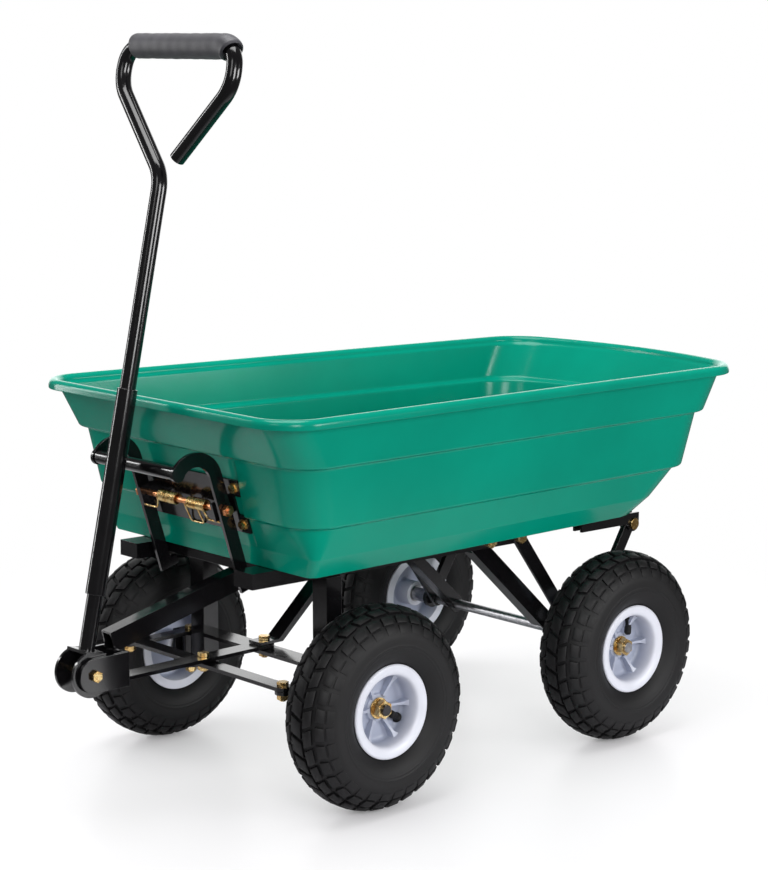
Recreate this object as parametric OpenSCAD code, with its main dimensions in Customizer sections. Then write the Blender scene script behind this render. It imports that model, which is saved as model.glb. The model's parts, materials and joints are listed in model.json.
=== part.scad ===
// Tipping dump cart: a moulded tray on a welded steel frame, with a steered front axle,
// four air tyred wheels, a sprung tray latch and a pull handle with a foam grip.
// Millimetres. +X is the cart's left, -Y the handle end, +Z up. The origin lies on the
// ground under the middle of the box around the cart.

/* [Wheels] */
// Outer diameter of the tyre
tyre_d = 260; // [240:1:280]
// Width of the tyre section
tyre_w = 82; // [78:1:86]
// Thickness of the tyre wall with its tread
tyre_wall = 11; // [9:0.5:14]
// Depth of the grooves round the tread
tread_deep = 5; // [3:0.5:6]
// Diameter over the rim flanges
rim_d = 120; // [112:1:130]
// Width over the rim flanges
rim_w = 66; // [60:1:70]
// Thickness of the rim's moulded walls
rim_t = 3.5; // [2.5:0.5:5]
// Ribs on the outer face of the wheel disc
rim_ribs = 6; // [4:1:9]
// Outer diameter of the wheel hub
hub_d = 36; // [34:1:44]
// Diameter of the axles where the wheels run
axle_d = 14; // [12:1:16]
// Distance between the wheel centres across the cart
track = 430; // [425:1:460]
// Distance between the front and rear axles
wheelbase = 442; // [420:1:480]

/* [Tray] */
// Length of the tray over its rim
tray_l = 903; // [860:1:960]
// Width of the tray over its rim at the handle end
tray_w = 516; // [490:1:540]
// Width of the tray over its rim at the dumping end
tray_w_rear = 456; // [440:1:500]
// Height of the tray from its base to the top of the rim
tray_h = 205; // [190:1:240]
// Wall and floor thickness of the tray
tray_t = 4; // [3:0.5:6]
// How far the rim reaches past the front axle
tray_front = 183; // [170:1:200]
// Fall of the tray and its deck towards the rear, in degrees
deck_fall = 1.1; // [0:0.1:2]
// Radius of the rounded rim bead
rim_bead_r = 9; // [7:0.5:11]
// Depth of the flat band below the rim bead
rim_band = 7; // [4:0.5:12]
// Height of the upper ledge above the base
ledge_upper = 140; // [125:1:155]
// Height of the lower ledge above the base
ledge_lower = 63; // [50:1:75]
// Height of the square base skirt
skirt_h = 24; // [16:1:30]
// Inward lean of each side wall band, from the rim down
side_lean = [4, 7, 7, 8]; // [1:1:20]
// Inward lean of each front wall band, from the rim down
front_lean = [28, 16, 14, 4]; // [1:1:40]
// Inward lean of each rear wall band, from the rim down
rear_lean = [38, 16, 58, 14]; // [1:1:60]
// Depth of the two moulded ledges
ledge_depth = 8; // [5:0.5:12]
// Corner radius of the tray at the handle end
corner_front = 46; // [36:1:60]
// Corner radius of the tray at the dumping end
corner_rear = 96; // [70:1:120]
// Corner radius of the base skirt
corner_skirt = 12; // [6:1:30]
// Bow of the dumping edge
rear_bow = 30; // [10:1:45]
// Half width of the flat latch panel
panel_x = 105; // [100:1:112]

/* [Frame] */
// Height of the deck rails' top over the front axle
deck_h = 302; // [295:1:320]
// Width of a deck rail
rail_w = 36; // [30:1:40]
// Height of the deck rails and the rear crossbar
rail_h = 20; // [18:1:24]
// Wall of the deck rails and crossbars
rail_t = 2; // [1.5:0.5:3]
// Distance of a rail's centre from the middle of the cart
rail_x = 118; // [112:1:124]
// How far the rails reach ahead of the front axle
rail_ahead = 128; // [115:1:140]
// How far the rails reach behind the front axle
rail_behind = 346; // [340:1:360]
// Depth of a crossbar along the cart
crossbar_w = 25; // [20:1:30]
// Distance of the latch crossbar's front face ahead of the front axle
catch_ahead = 85; // [83:1:87]
// Height of the latch crossbar
catch_h = 14; // [12:0.5:15]
// Distance of the rear crossbar behind the front axle
rear_cross = 138; // [120:1:160]
// Thickness of the flat bars
bar_t = 5; // [4:0.5:6]
// Thickness of the pressed angle braces
angle_t = 3; // [2:0.5:4]
// Distance of the tray hinge behind the front axle
hinge_back = 535; // [525:1:545]
// Drop of the tray hinge below the deck
hinge_drop = 15; // [14:0.5:18]
// Distance of a hinge post's middle from the middle of the cart
hinge_x = 152; // [150:1:156]

/* [Steering] */
// Length of the steering arms, and of the crank on the drawbar
arm_l = 100; // [90:1:110]
// Width of the drawbar's flat lower bar
tongue_w = 26; // [22:1:30]
// Distance of the handle bolt ahead of the front axle
tongue_l = 285; // [275:1:300]
// Height of the handle bolt
tongue_z = 184; // [180:1:190]
// Diameter of the kingpins and steering bolts
pin_d = 8; // [7:0.5:10]
// Outer diameter of the kingpin barrels
barrel_d = 24; // [22:1:24]
// Running clearance of a pin in its bore, all round
fit = 0.06; // [0.04:0.01:0.1]
// Gap between stacked plates that slide on each other
slip = 0.6; // [0.4:0.1:1]

/* [Handle] */
// Lean of the parked handle, in degrees
handle_lean = 12.4; // [12:0.1:12.6]
// Diameter of the handle tube
tube_d = 20; // [18:0.5:21]
// Wall of the handle tube
tube_t = 2; // [1.5:0.5:2.5]
// Diameter of the joining sleeve
sleeve_d = 25; // [24:0.5:26]
// Length of the joining sleeve
sleeve_l = 254; // [220:1:280]
// Height of the sleeve's lower end along the handle
sleeve_s = 96; // [80:1:110]
// Height of the D loop's neck along the handle
neck_s = 612; // [590:1:630]
// Height of the D loop's widest point along the handle
wide_s = 724; // [715:1:735]
// Height of the grip along the handle
grip_s = 771; // [765:1:785]
// Half width of the D loop
loop_x = 112; // [105:1:120]
// Half width of the loop's top corners
grip_x = 106; // [100:1:110]
// Distance of the loop's free end from the handle's middle
end_x = 27; // [24:1:34]
// Height of the loop's free end along the handle
end_s = 634; // [628:1:645]
// Diameter of the foam grip
grip_d = 32; // [28:1:36]
// Radius of the yoke's round cheeks
cheek_r = 28.5; // [26:0.5:29]
// Half width of the yoke, outside
cheek_x = 20; // [18:0.5:22]

/* [Latch] */
// Distance of a latch arm's middle from the middle of the cart
cane_x = 82; // [80:0.5:85]
// Width of a latch arm's flat bar
cane_w = 18; // [16:0.5:19]
// Radius of the hook at the top of a latch arm
hook_r = 31.5; // [30:0.5:33]
// Distance of the latch arms from the tray panel
cane_off = 17; // [16:0.5:18]
// Height of the hook's centre up the panel
hook_s = 104; // [100:1:108]
// Height of the latch rod up the panel
rod_s = 56; // [52:1:60]
// Depth of the latch toes below the panel
toe_s = 55; // [54:0.5:57]
// Diameter of the latch rod
rod_d = 8; // [7:0.5:9]
// Diameter of the grab tube
grab_d = 17; // [15:0.5:18]
// Diameter of the spring wire
wire_d = 2.6; // [2:0.1:3]
// Step of the spring from curl to curl
wire_pitch = 3.3; // [3.2:0.1:3.8]
// Curls in each half of the spring
spring_curls = 10; // [6:1:10]

/* [Hidden] */

$fn = 48;
// Small gap between faces of one body that only touch
touch = 0.2;
// Clearance of a bolt in a plain hole, all round
hole_gap = 0.1;
// Ratio of a hexagon's corner diameter to the thread diameter, and of head and nut height
hex_ratio = 1.9;
head_ratio = 0.65;
nut_ratio = 0.8;

// Heights of the stacked steering plates
axle_z = tyre_d / 2;
barrel_h = 40;
barrel_z = axle_z - 17;
lug_t = bar_t;
arm_z = barrel_z + barrel_h + slip;
tie_z = arm_z + bar_t + slip;
lower_z = tie_z + bar_t + slip;
plate_z = lower_z - slip - bar_t;
foot_z = lower_z + bar_t + slip;
foot_t = 4;

// Places along the cart
tray_rear = tray_l - tray_front;
rear_reach = tray_rear * cos(deck_fall) + (tray_h - rim_bead_r) * sin(deck_fall);
front_axle_y = (tongue_l + cheek_r - rear_reach) / 2;
rear_axle_y = front_axle_y + wheelbase;

// Places across the cart
knuckle_gap = 16;
kingpin_x = track / 2 - tyre_w / 2 - knuckle_gap;
web_in = kingpin_x + barrel_d / 2 + 1;
web_out = web_in + bar_t;
web_d = 32;
post_w = 28;
post_d = 25;
post_out = kingpin_x - barrel_d / 2 - 6;
post_t = 2.5;
gusset_t = 8;

// Wheel sizes, measured from the wheel's middle
hub_in = 30;
hub_out = 6;
bearing_r = hub_d / 2 - 6;
bearing_w = 10;
bead_r = rim_d / 2 - 8;
belly_r = bead_r + 0.45 * (tyre_d / 2 - bead_r);
crown_power = 2.8;
seat_z = rim_w / 2 - rim_t - touch;
section_n = 48;
groove_out = 6;
// Angles on the section where the tread's rows and the grooves between them start and end
tread_angles = [7, 10.2, 24.9, 29.5, 47.8, 52, 69.2];
tread_rings = [for (i = [0, 2, 4]) for (k = [1, -1]) k * [tread_angles[i], tread_angles[i + 1]]];
rib_t = 4;
rib_h = 12;
valve_d = 8;
valve_l = 24;
valve_turn = 60;
valve_r = bead_r - 15;
washer_t = 2;
axle_nut_ratio = 1.7;
washer_r = 13.5;
axle_end = track / 2 + hub_out + washer_t + axle_d * nut_ratio + 4;
shoulder_r = axle_d / 2 + 3;

// Tray levels from the top of the wall down to the base
base_gap = 0.3;
floor_lift = 1;
ledge_fall = 3;
rim_over = 2 * rim_bead_r - tray_t;
rim_mid = tray_h - rim_bead_r;
rim_under = rim_mid - rim_band;
wall_w = [rim_under + 1, ledge_upper + ledge_fall / 2, ledge_upper - ledge_fall / 2,
    ledge_lower + ledge_fall / 2, ledge_lower - ledge_fall / 2, skirt_h, base_gap];
inner_w = [wall_w[0], wall_w[1] + tray_t, wall_w[2] + tray_t, wall_w[3] + tray_t,
    wall_w[4] + tray_t, wall_w[5], base_gap];
side_in = insets(side_lean);
front_in = insets(front_lean);
rear_in = insets(rear_lean);
corner_n = 8;
bow_n = 5;
bead_n = 6;

// Latch panel: its foot along the deck, its lean and the latch sizes on it
panel_v = front_in[5] - tray_front;
panel_lean = atan((front_in[5] - front_in[2]) / (wall_w[2] - wall_w[5]));
cane_t = 5;
hook_sweep = 130;
grab_eye = 20;
grab_y = -cane_off - hook_r + hook_r * cos(hook_sweep);
grab_s = hook_s + hook_r * sin(hook_sweep);
grab_t = 1.5;
toe_h = 12;
toe_y = 2;
plate_t = 3;
plate_lo = 20;
plate_hi = 92;
plate_bolt_x = 95;
plate_bolt_s = [32, 82];
plate_bolt_d = 6;
ear_t = 4;
ear_x = cane_x - cane_t / 2 - 7.5;
ear_h = 24;
ear_y = cane_off + 12;
notch_x = 88;
notch_s = [44, 70];
bolt_washer_t = 1.5;
bolt_washer_ratio = 2.4;
rod_nut_t = 7;
rod_past = 10;

// Spring: its coil radius, where it starts across the cart, and its legs
coil_r = rod_d / 2 + wire_d / 2 + 1.2;
coil_x = 47;
ring_n = 8;
wire_sides = 6;
leg_drop = 36;
loop_drop = 26;
wire_bend = 5;
bend_n = 4;

// Handle sizes along its own line
cheek_t = 4;
bridge_s = 24;
yoke_d = 30;
yoke_top = 215;
loop_foot = 222;
neck_r = 45;
wide_r = 45;
top_r = 25;
sleeve_gap = 0.15;
grip_past = 2;
tube_sides = 20;
tube_step = 9;

// Drawbar and deck sizes
clevis_in = cheek_x + 1;
clevis_t = 5;
clevis_r = 22;
clevis_back = tongue_l - 51;
beam_w = 20;
beam_h = 26;
beam_t = 2.5;
beam_from = tongue_l - 38;
beam_lift = 32;
bush_r = 13;
bush_h = 26;
bolster_d = 70;
bolster_drop = 13;
bolster_z = deck_h - bolster_drop;
bush_z = bolster_z - 1.2 - bush_h;
beam_rise = bush_z + bush_h / 2 - tongue_z - beam_lift;
beam_slope = atan(beam_rise / beam_from);
tie_w = 22;
arm_w = 20;
tie_plate_d = 30;
foot_ahead = 16;
foot_behind = 22;
foot_top = 15;
brace_top = 14;
centre_brace_w = 24;
brace_v = 275;
strut_v = 328;
frame_bolt_d = 10;
brace_w = 24;
strut_w = 20;
flange_w = 22;
rail_in = rail_x - rail_w / 2;
rail_out = rail_x + rail_w / 2;
hinge_post_t = 8;
post_link_w = strut_w - 2;
post_foot_d = strut_w + 8;
hinge_pin_d = 10;
hinge_eye = 22;
lug_w = 4;
hinge_base = 4;
hinge_base_l = 45;
hinge_arm_l = 105;
pin_head_t = 3;
pin_head_d = hinge_pin_d + 6;
axle_at = [rear_axle_y, axle_z];
hinge_at = [deck_y(hinge_back, -hinge_drop), deck_z(hinge_back, -hinge_drop)];

// Frame place and height of a point given along and above the deck
function deck_y(v, w) = front_axle_y + v * cos(deck_fall) + w * sin(deck_fall);
function deck_z(v, w) = deck_h - v * sin(deck_fall) + w * cos(deck_fall);

// Insets of the tray wall from its rim at the seven levels
function insets(lean) =
    let (a = rim_over, b = a + lean[0], c = b + ledge_depth, d = c + lean[1])
    let (e = d + ledge_depth, f = e + lean[2])
    [a, b, c, d, e, f, f + lean[3]];

// Inset of the flat latch panel at a height above the base
function panel_in(w) = front_in[2] + (wall_w[2] - w) * tan(panel_lean);

// Outline of the tray at one level, from insets of side, front, rear and panel and from the
// front and rear corner radii
function outline(side, front, rear, panel, cf, cr) =
    let (hf = tray_w / 2 - side, hr = tray_w_rear / 2 - side)
    let (yf = front - tray_front, yr = tray_rear - rear, yp = panel - tray_front)
    let (bow = atan(2 * rear_bow / (hr - cr / 2)))
    let (xe = hr - cr + cr * sin(bow))
    let (k = tan(bow) / (2 * xe))
    let (yc = yr - k * xe * xe - cr * cos(bow))
    concat(
        corner(cf - hf, yf + cf, cf, 180, 90),
        [[-panel_x - 1, yf], [1 - panel_x, yp], [panel_x - 1, yp], [panel_x + 1, yf]],
        corner(hf - cf, yf + cf, cf, 270, 90),
        corner(hr - cr, yc, cr, 0, 90 - bow),
        [for (i = [1 : bow_n]) let (x = xe * (1 - 2 * i / (bow_n + 1))) [x, yr - k * x * x]],
        corner(cr - hr, yc, cr, 90 + bow, 90 - bow));

// Points round one corner
function corner(x, y, r, from, sweep) =
    [for (i = [0 : corner_n]) let (a = from + sweep * i / corner_n) [x + r * cos(a), y + r * sin(a)]];

// Ring of points on the tray wall at one of its levels, outside or inside
function wall_ring(k, w, deep) =
    let (p = (k > 1 && k < 6) ? panel_in(w) : front_in[k])
    let (cf = k < 5 ? corner_front : corner_skirt)
    [for (q = outline(side_in[k] + deep, front_in[k] + deep, rear_in[k] + deep, p + deep, cf, corner_rear))
        [q[0], q[1], w]];

// Ring of points on the rim bead at an inset and a height
function rim_ring(i, w) =
    [for (q = outline(i, i, i, i, corner_front + rim_over - i, corner_rear + rim_over - i))
        [q[0], q[1], w]];

// Rings of the tray shell: up the outside, over the rim bead and down the inside
function tray_rings() = concat(
    [for (k = [6 : -1 : 0]) wall_ring(k, wall_w[k], 0)],
    [rim_ring(0, rim_under)],
    [for (i = [0 : bead_n]) let (a = 180 * i / bead_n)
        rim_ring(rim_bead_r * (1 - cos(a)), rim_mid + rim_bead_r * sin(a))],
    [for (k = [0 : 6]) wall_ring(k, inner_w[k], tray_t)]);

// Floor inset that lies in the middle of the skirt's wall
function floor_in(in, lean) =
    in[6] - lean[3] * (floor_lift + tray_t / 2) / (skirt_h - base_gap) + tray_t / 2;

// Point of the tyre's section at an angle, for its semi axes and least radius
function tyre_point(a, wide, up, down, low, seat) =
    let (c = cos(a), s = sin(a))
    let (r = c > 0 ? belly_r + up * pow(c, 2 / crown_power) : belly_r + down * c)
    let (z = wide * sign(s) * (c > 0 ? pow(abs(s), 2 / crown_power) : abs(s)))
    [max(r, low), r < rim_d / 2 + 1 ? sign(z) * min(abs(z), seat) : z];

// Angles of the points on the tyre's section: those of the tread and even steps round the rest
function section_angles() =
    let (end = tread_angles[6], n = section_n - 4 * len(tread_angles) / 2)
    concat([for (a = tread_angles) a], [for (i = [1 : n]) end + (360 - 2 * end) * i / (n + 1)],
        [for (i = [len(tread_angles) - 1 : -1 : 0]) 360 - tread_angles[i]]);

// Closed section of the tyre, thinned by a wall
function tyre_section(wall) =
    [for (a = section_angles())
        tyre_point(a, tyre_w / 2 - wall, tyre_d / 2 - belly_r - wall, belly_r - bead_r + 3 - wall,
            bead_r + touch + wall, seat_z - wall)];

// Point above or below the tyre's outer surface at an angle on its section
function tread_point(a, lift) =
    let (up = tyre_d / 2 - belly_r, q = tyre_point(a, tyre_w / 2, up, 1, 0, tyre_w))
    let (c = pow((q[0] - belly_r) / up, crown_power - 1))
    let (s = sign(q[1]) * pow(2 * abs(q[1]) / tyre_w, crown_power - 1))
    q + lift * unit([c, s]);

// Section of the space that a groove takes between two angles
function groove(a, b) =
    [tread_point(a, -tread_deep), tread_point(b, -tread_deep), tread_point(b, groove_out),
        tread_point(a, groove_out)];

// Unit vector
function unit(v) = v / norm(v);

// Signed turn of a flat path at its point i
function turn(p, i) =
    let (u = unit([p[i][0] - p[i - 1][0], p[i][1] - p[i - 1][1]]))
    let (w = unit([p[i + 1][0] - p[i][0], p[i + 1][1] - p[i][1]]))
    atan2(u[0] * w[1] - u[1] * w[0], u[0] * w[0] + u[1] * w[1]);

// Length that the bend at point i takes from the straight before and after it
function trim(p, i) = (i == 0 || i == len(p) - 1) ? 0 : p[i][2] * tan(abs(turn(p, i)) / 2);

// Flat path of [across, along, bend radius] points as [across, along, direction] stations
function stations(p) =
    let (n = len(p) - 1)
    concat(
        [let (u = unit([p[1][0] - p[0][0], p[1][1] - p[0][1]])) [p[0][0], p[0][1], u[0], u[1]]],
        [for (i = [1 : n - 1])
            let (t = turn(p, i), u = unit([p[i][0] - p[i - 1][0], p[i][1] - p[i - 1][1]]))
            let (m = sign(t) * [-u[1], u[0]], c = [p[i][0], p[i][1]] - u * trim(p, i) + m * p[i][2])
            let (steps = ceil(abs(t) / tube_step))
            for (j = [0 : steps])
                let (f = t * j / steps)
                let (d = [u[0] * cos(f) - u[1] * sin(f), u[0] * sin(f) + u[1] * cos(f)])
                let (o = -sign(t) * p[i][2] * [-d[1], d[0]])
                [c[0] + o[0], c[1] + o[1], d[0], d[1]]],
        [let (u = unit([p[n][0] - p[n - 1][0], p[n][1] - p[n - 1][1]])) [p[n][0], p[n][1], u[0], u[1]]]);

// Two triangles between sides a of two rings of k points
function quad(p, q, a, k) =
    let (b = (a + 1) % k)
    [[p + a, q + b, p + b], [p + a, q + a, q + b]];

// Points of a rounded corner between three points in space
function bend(a, b, c) =
    let (p = b + wire_bend * unit(a - b), q = b + wire_bend * unit(c - b))
    [for (i = [0 : bend_n]) let (t = i / bend_n) (1 - t) * (1 - t) * p + 2 * t * (1 - t) * b + t * t * q];

// Point of the left coil: it starts at the front of the rod and winds inwards
function coil_point(t) =
    [coil_x - wire_pitch * t, -cane_off - coil_r * cos(360 * t), rod_s + coil_r * sin(360 * t)];

// Left half of the spring wire, from its end at the latch arm to the middle of the loop
function half_wire() =
    let (turns = spring_curls + 0.5, xe = coil_x - wire_pitch * turns)
    let (leg = [coil_x + wire_bend, -cane_off - coil_r, rod_s - leg_drop])
    let (tip = [cane_x - cane_t / 2 - touch, leg[1], leg[2]])
    let (a = coil_point(0), b = coil_point(turns))
    let (low = [xe - 1, -plate_t - touch * 2 - wire_d / 2, rod_s - loop_drop])
    concat(
        [tip, tip - [wire_d, 0, 0]],
        bend(tip, leg, a),
        [a - [0, 0, wire_bend]],
        [for (i = [0 : turns * ring_n]) coil_point(i / ring_n)],
        [b + [-0.3, 0.4, -wire_bend]],
        bend(b, low, [0, low[1], low[2]]));

// Whole spring wire
function spring_path() =
    let (h = half_wire())
    concat(h, [for (i = [len(h) - 1 : -1 : 0]) [-h[i][0], h[i][1], h[i][2]]]);

// Direction of a path at point i
function along(p, i) = unit(p[min(i + 1, len(p) - 1)] - p[max(i - 1, 0)]);

// Normals carried along a path without twist
function normals(p) =
    [for (i = 0, n = [0, 0, 1]; i < len(p); i = i + 1,
        n = i < len(p) ? unit(n - (n * along(p, i)) * along(p, i)) : n) n];

// Least gap between two curls or legs of the wire
function wire_gap(p) =
    min([for (i = [0 : len(p) - 1]) for (j = [i + ring_n - 1 : 1 : len(p) - 1]) norm(p[i] - p[j])]) - wire_d;

// Deck's own frame: its origin lies on the deck over the front axle
module deck() {
    translate([0, front_axle_y, deck_h])
        rotate([-deck_fall, 0, 0])
            children();
}

// Latch panel's own frame: z runs up the panel and -y out of it
module panel() {
    deck()
        translate([0, panel_v, skirt_h])
            rotate([panel_lean, 0, 0])
                children();
}

// Drawbar's own frame over the front axle
module axle_frame() {
    translate([0, front_axle_y, 0])
        children();
}

// Handle's own frame: z runs up the parked handle
module handle() {
    axle_frame()
        translate([0, -tongue_l, tongue_z])
            rotate([-handle_lean, 0, 0])
                children();
}

// Mirrors the left part to the right when s is -1
module hand(s) {
    mirror([s < 0 ? 1 : 0, 0, 0])
        children();
}

// Extrudes a profile drawn along and above the cart between two places across it
module across(x0, x1) {
    translate([x0, 0, 0])
        rotate([90, 0, 90])
            linear_extrude(x1 - x0)
                children();
}

// Flat bar between two points with rounded ends
module link(p, q, w) {
    l = norm(q - p);
    translate(p)
        rotate(atan2(q[1] - p[1], q[0] - p[0])) {
            translate([0, -w / 2])
                square([l, w]);
            circle(d = w);
            translate([l, 0])
                circle(d = w);
        }
}

// Hollow rectangular tube lying along y, x or z with its wall on the other two sides
module box_tube(size, wall, dir) {
    gap = [for (i = [0 : 2]) i == dir ? 1 : -wall];
    difference() {
        cube(size);
        translate(-gap)
            cube(size + 2 * gap);
    }
}

// Bolt standing on z: head below the grip, nut above it
module bolt(d, grip) {
    translate([0, 0, -d * head_ratio])
        cylinder(h = d * head_ratio, d = d * hex_ratio, $fn = 6);
    cylinder(h = grip + d * nut_ratio + 2, d = d);
    translate([0, 0, grip])
        cylinder(h = d * nut_ratio, d = d * hex_ratio, $fn = 6);
}

// Bolt lying across the cart from x0 to x1, with its head at x0
module cross_bolt(d, x0, x1, y, z) {
    translate([x0, y, z])
        rotate([0, x1 > x0 ? 90 : -90, 0])
            bolt(d, abs(x1 - x0));
}

// Places a wheel piece with its outer face towards +z
module wheel(s, y) {
    translate([s * track / 2, y, axle_z])
        rotate([0, 90 * s, 0])
            children();
}

// Hollow tube swept along a flat path, with the same number of sides outside and inside
module swept_tube(path, r, wall) {
    n = len(path);
    k = tube_sides;
    m = n * k;
    rings = [for (q = [r, r - wall]) for (s = path) for (a = [0 : k - 1])
        let (c = q * cos(360 * a / k))
        [s[0] - s[3] * c, q * sin(360 * a / k), s[1] + s[2] * c]];
    polyhedron(
        points = rings,
        faces = concat(
            [for (i = [0 : n - 2]) for (a = [0 : k - 1]) each quad(i * k, (i + 1) * k, a, k)],
            [for (i = [0 : n - 2]) for (a = [0 : k - 1]) each quad(m + (i + 1) * k, m + i * k, a, k)],
            [for (a = [0 : k - 1]) each quad(m, 0, a, k)],
            [for (a = [0 : k - 1]) each quad(m - k, 2 * m - k, a, k)]));
}

// Deck rail: a hollow bar closed at its front end, with the holes of its two bolts
module side_rail(s) {
    color("#1b1c1d")
        hand(s)
            deck()
                difference() {
                    translate([rail_in, -rail_ahead, -rail_h]) {
                        box_tube([rail_w, rail_ahead + rail_behind, rail_h], rail_t, 1);
                        cube([rail_w, rail_t, rail_h]);
                    }
                    for (v = [brace_v, strut_v])
                        translate([rail_in - 1, v, -rail_h / 2])
                            rotate([0, 90, 0])
                                cylinder(h = rail_w + 2, r = frame_bolt_d / 2 + hole_gap);
                }
}

// Crossbar that the latch toes hook under
module latch_crossbar() {
    color("#1b1c1d")
        deck()
            translate([-rail_in, -catch_ahead, -catch_h])
                box_tube([2 * rail_in, crossbar_w, catch_h], rail_t, 0);
}

// Crossbar over the top of the centre brace
module rear_crossbar() {
    color("#1b1c1d")
        deck()
            translate([-rail_in, rear_cross - crossbar_w / 2, -rail_h])
                box_tube([2 * rail_in, crossbar_w, rail_h], rail_t, 0);
}

// Plate between the rails that carries the upper steering pivot
module bolster_plate() {
    color("#1b1c1d")
        difference() {
            deck()
                translate([-rail_in, -bolster_d / 2, -bolster_drop])
                    cube([2 * rail_in, bolster_d, bar_t]);
            axle_frame()
                translate([0, 0, bolster_z - bar_t])
                    cylinder(h = 3 * bar_t, r = pin_d / 2 + hole_gap);
        }
}

// Post under a rail with the kingpin barrel on its outer face
module kingpin_post(s) {
    color("#1b1c1d")
        hand(s)
            difference() {
                axle_frame() {
                    translate([post_out - post_w, -post_d / 2, barrel_z])
                        difference() {
                            cube([post_w, post_d, deck_h - barrel_z]);
                            translate([post_t, post_t, bar_t])
                                cube([post_w - 2 * post_t, post_d - 2 * post_t, deck_h]);
                        }
                    translate([post_out - 1, -gusset_t / 2, barrel_z])
                        cube([kingpin_x - post_out, gusset_t, barrel_h]);
                    translate([kingpin_x, 0, barrel_z])
                        cylinder(h = barrel_h, d = barrel_d);
                }
                axle_frame()
                    translate([kingpin_x, 0, barrel_z - 1])
                        cylinder(h = barrel_h + 2, r = pin_d / 2 + fit);
                deck()
                    translate([0, -post_d, -rail_h])
                        cube([track, 2 * post_d, deck_h]);
            }
}

// Flat plate between the posts that carries the lower steering pivot
module axle_tie_plate() {
    x = post_out - post_w;
    color("#1b1c1d")
        axle_frame()
            difference() {
                translate([-x, -tie_plate_d / 2, plate_z])
                    cube([2 * x, tie_plate_d, bar_t]);
                translate([0, 0, plate_z - 1])
                    cylinder(h = bar_t + 2, r = pin_d / 2 + fit);
            }
}

// Brace from the lower pivot up to the rear crossbar
module centre_brace() {
    end = rear_cross + brace_top / 2;
    top = deck_z(end, -rail_h) - touch / 2;
    color("#1b1c1d")
        axle_frame()
            difference() {
                across(-centre_brace_w / 2, centre_brace_w / 2)
                    polygon([[-foot_ahead, foot_z], [foot_behind, foot_z], [end, top],
                        [end - brace_top, top], [foot_top, foot_z + foot_t], [-foot_ahead, foot_z + foot_t]]);
                translate([0, 0, foot_z - 1])
                    cylinder(h = foot_t + 2, r = pin_d / 2 + fit);
            }
}

// Angle brace from a rail's inner face down to the rear axle
module rear_brace(s) {
    top = [deck_y(brace_v, -rail_h / 2), deck_z(brace_v, -rail_h / 2)];
    l = norm(axle_at - top);
    color("#1b1c1d")
        hand(s)
            difference() {
                union() {
                    across(rail_in - angle_t, rail_in - touch / 2)
                        difference() {
                            link(top, axle_at, brace_w);
                            translate(top)
                                rotate(-deck_fall)
                                    translate([-brace_w, rail_h / 2 - touch])
                                        square([2 * brace_w, brace_w]);
                        }
                    across(rail_in - flange_w, rail_in - touch / 2)
                        translate(top)
                            rotate(atan2(axle_at[1] - top[1], axle_at[0] - top[0]))
                                translate([brace_w, -brace_w / 2])
                                    square([l - 2 * brace_w, angle_t]);
                }
                across(rail_in - angle_t - 1, rail_in + 1) {
                    translate(top)
                        circle(r = frame_bolt_d / 2 + hole_gap);
                    translate(axle_at)
                        circle(r = axle_d / 2 + fit);
                }
            }
}

// Flat strut from a rail's outer face down to the rear axle
module rear_strut(s) {
    top = [deck_y(strut_v, -rail_h / 2), deck_z(strut_v, -rail_h / 2)];
    color("#1b1c1d")
        hand(s)
            across(rail_out + touch / 2, rail_out + bar_t)
                difference() {
                    link(top, axle_at, strut_w);
                    translate(top)
                        circle(r = frame_bolt_d / 2 + hole_gap);
                    translate(axle_at)
                        circle(r = axle_d / 2 + fit);
                }
}

// Post from the rear axle up to the tray hinge
module hinge_post(s) {
    color("#1b1c1d")
        hand(s)
            across(hinge_x - hinge_post_t / 2, hinge_x + hinge_post_t / 2)
                difference() {
                    union() {
                        link(axle_at, hinge_at, post_link_w);
                        translate(axle_at)
                            circle(d = post_foot_d);
                        translate(hinge_at)
                            circle(d = hinge_eye);
                    }
                    translate(axle_at)
                        circle(r = axle_d / 2 + fit);
                    translate(hinge_at)
                        circle(r = hinge_pin_d / 2 + fit);
                }
}

// Rear axle with a shoulder inside each wheel
module rear_axle_shaft() {
    x = hinge_x + hinge_post_t / 2 + touch;
    color("#8d8f90")
        translate([0, rear_axle_y, axle_z])
            rotate([0, 90, 0]) {
                translate([0, 0, -axle_end])
                    cylinder(h = 2 * axle_end, d = axle_d);
                for (z = [x, hub_in + slip - track / 2])
                    translate([0, 0, z])
                        cylinder(h = track / 2 - hub_in - slip - x, r = shoulder_r);
            }
}

// Washer and nut on an axle's end
module axle_nut(s, y) {
    color("#c9a227")
        wheel(s, y)
            translate([0, 0, hub_out + slip])
                difference() {
                    union() {
                        cylinder(h = washer_t, r = washer_r);
                        cylinder(h = washer_t + axle_d * nut_ratio, d = axle_d * axle_nut_ratio, $fn = 6);
                    }
                    translate([0, 0, -1])
                        cylinder(h = axle_d * 2, r = axle_d / 2 + fit);
                }
}

// Washers and nuts of the rear axle
module rear_axle_nuts() {
    axle_nut(1, rear_axle_y);
    axle_nut(-1, rear_axle_y);
}

// Kingpin bolts through the barrels
module kingpins() {
    color("#c9a227")
        for (s = [1, -1])
            hand(s)
                axle_frame()
                    translate([kingpin_x, 0, arm_z + lug_t + touch])
                        rotate([180, 0, 0])
                            bolt(pin_d, barrel_h + 2 * lug_t + 2 * slip + 2 * touch);
}

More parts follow.
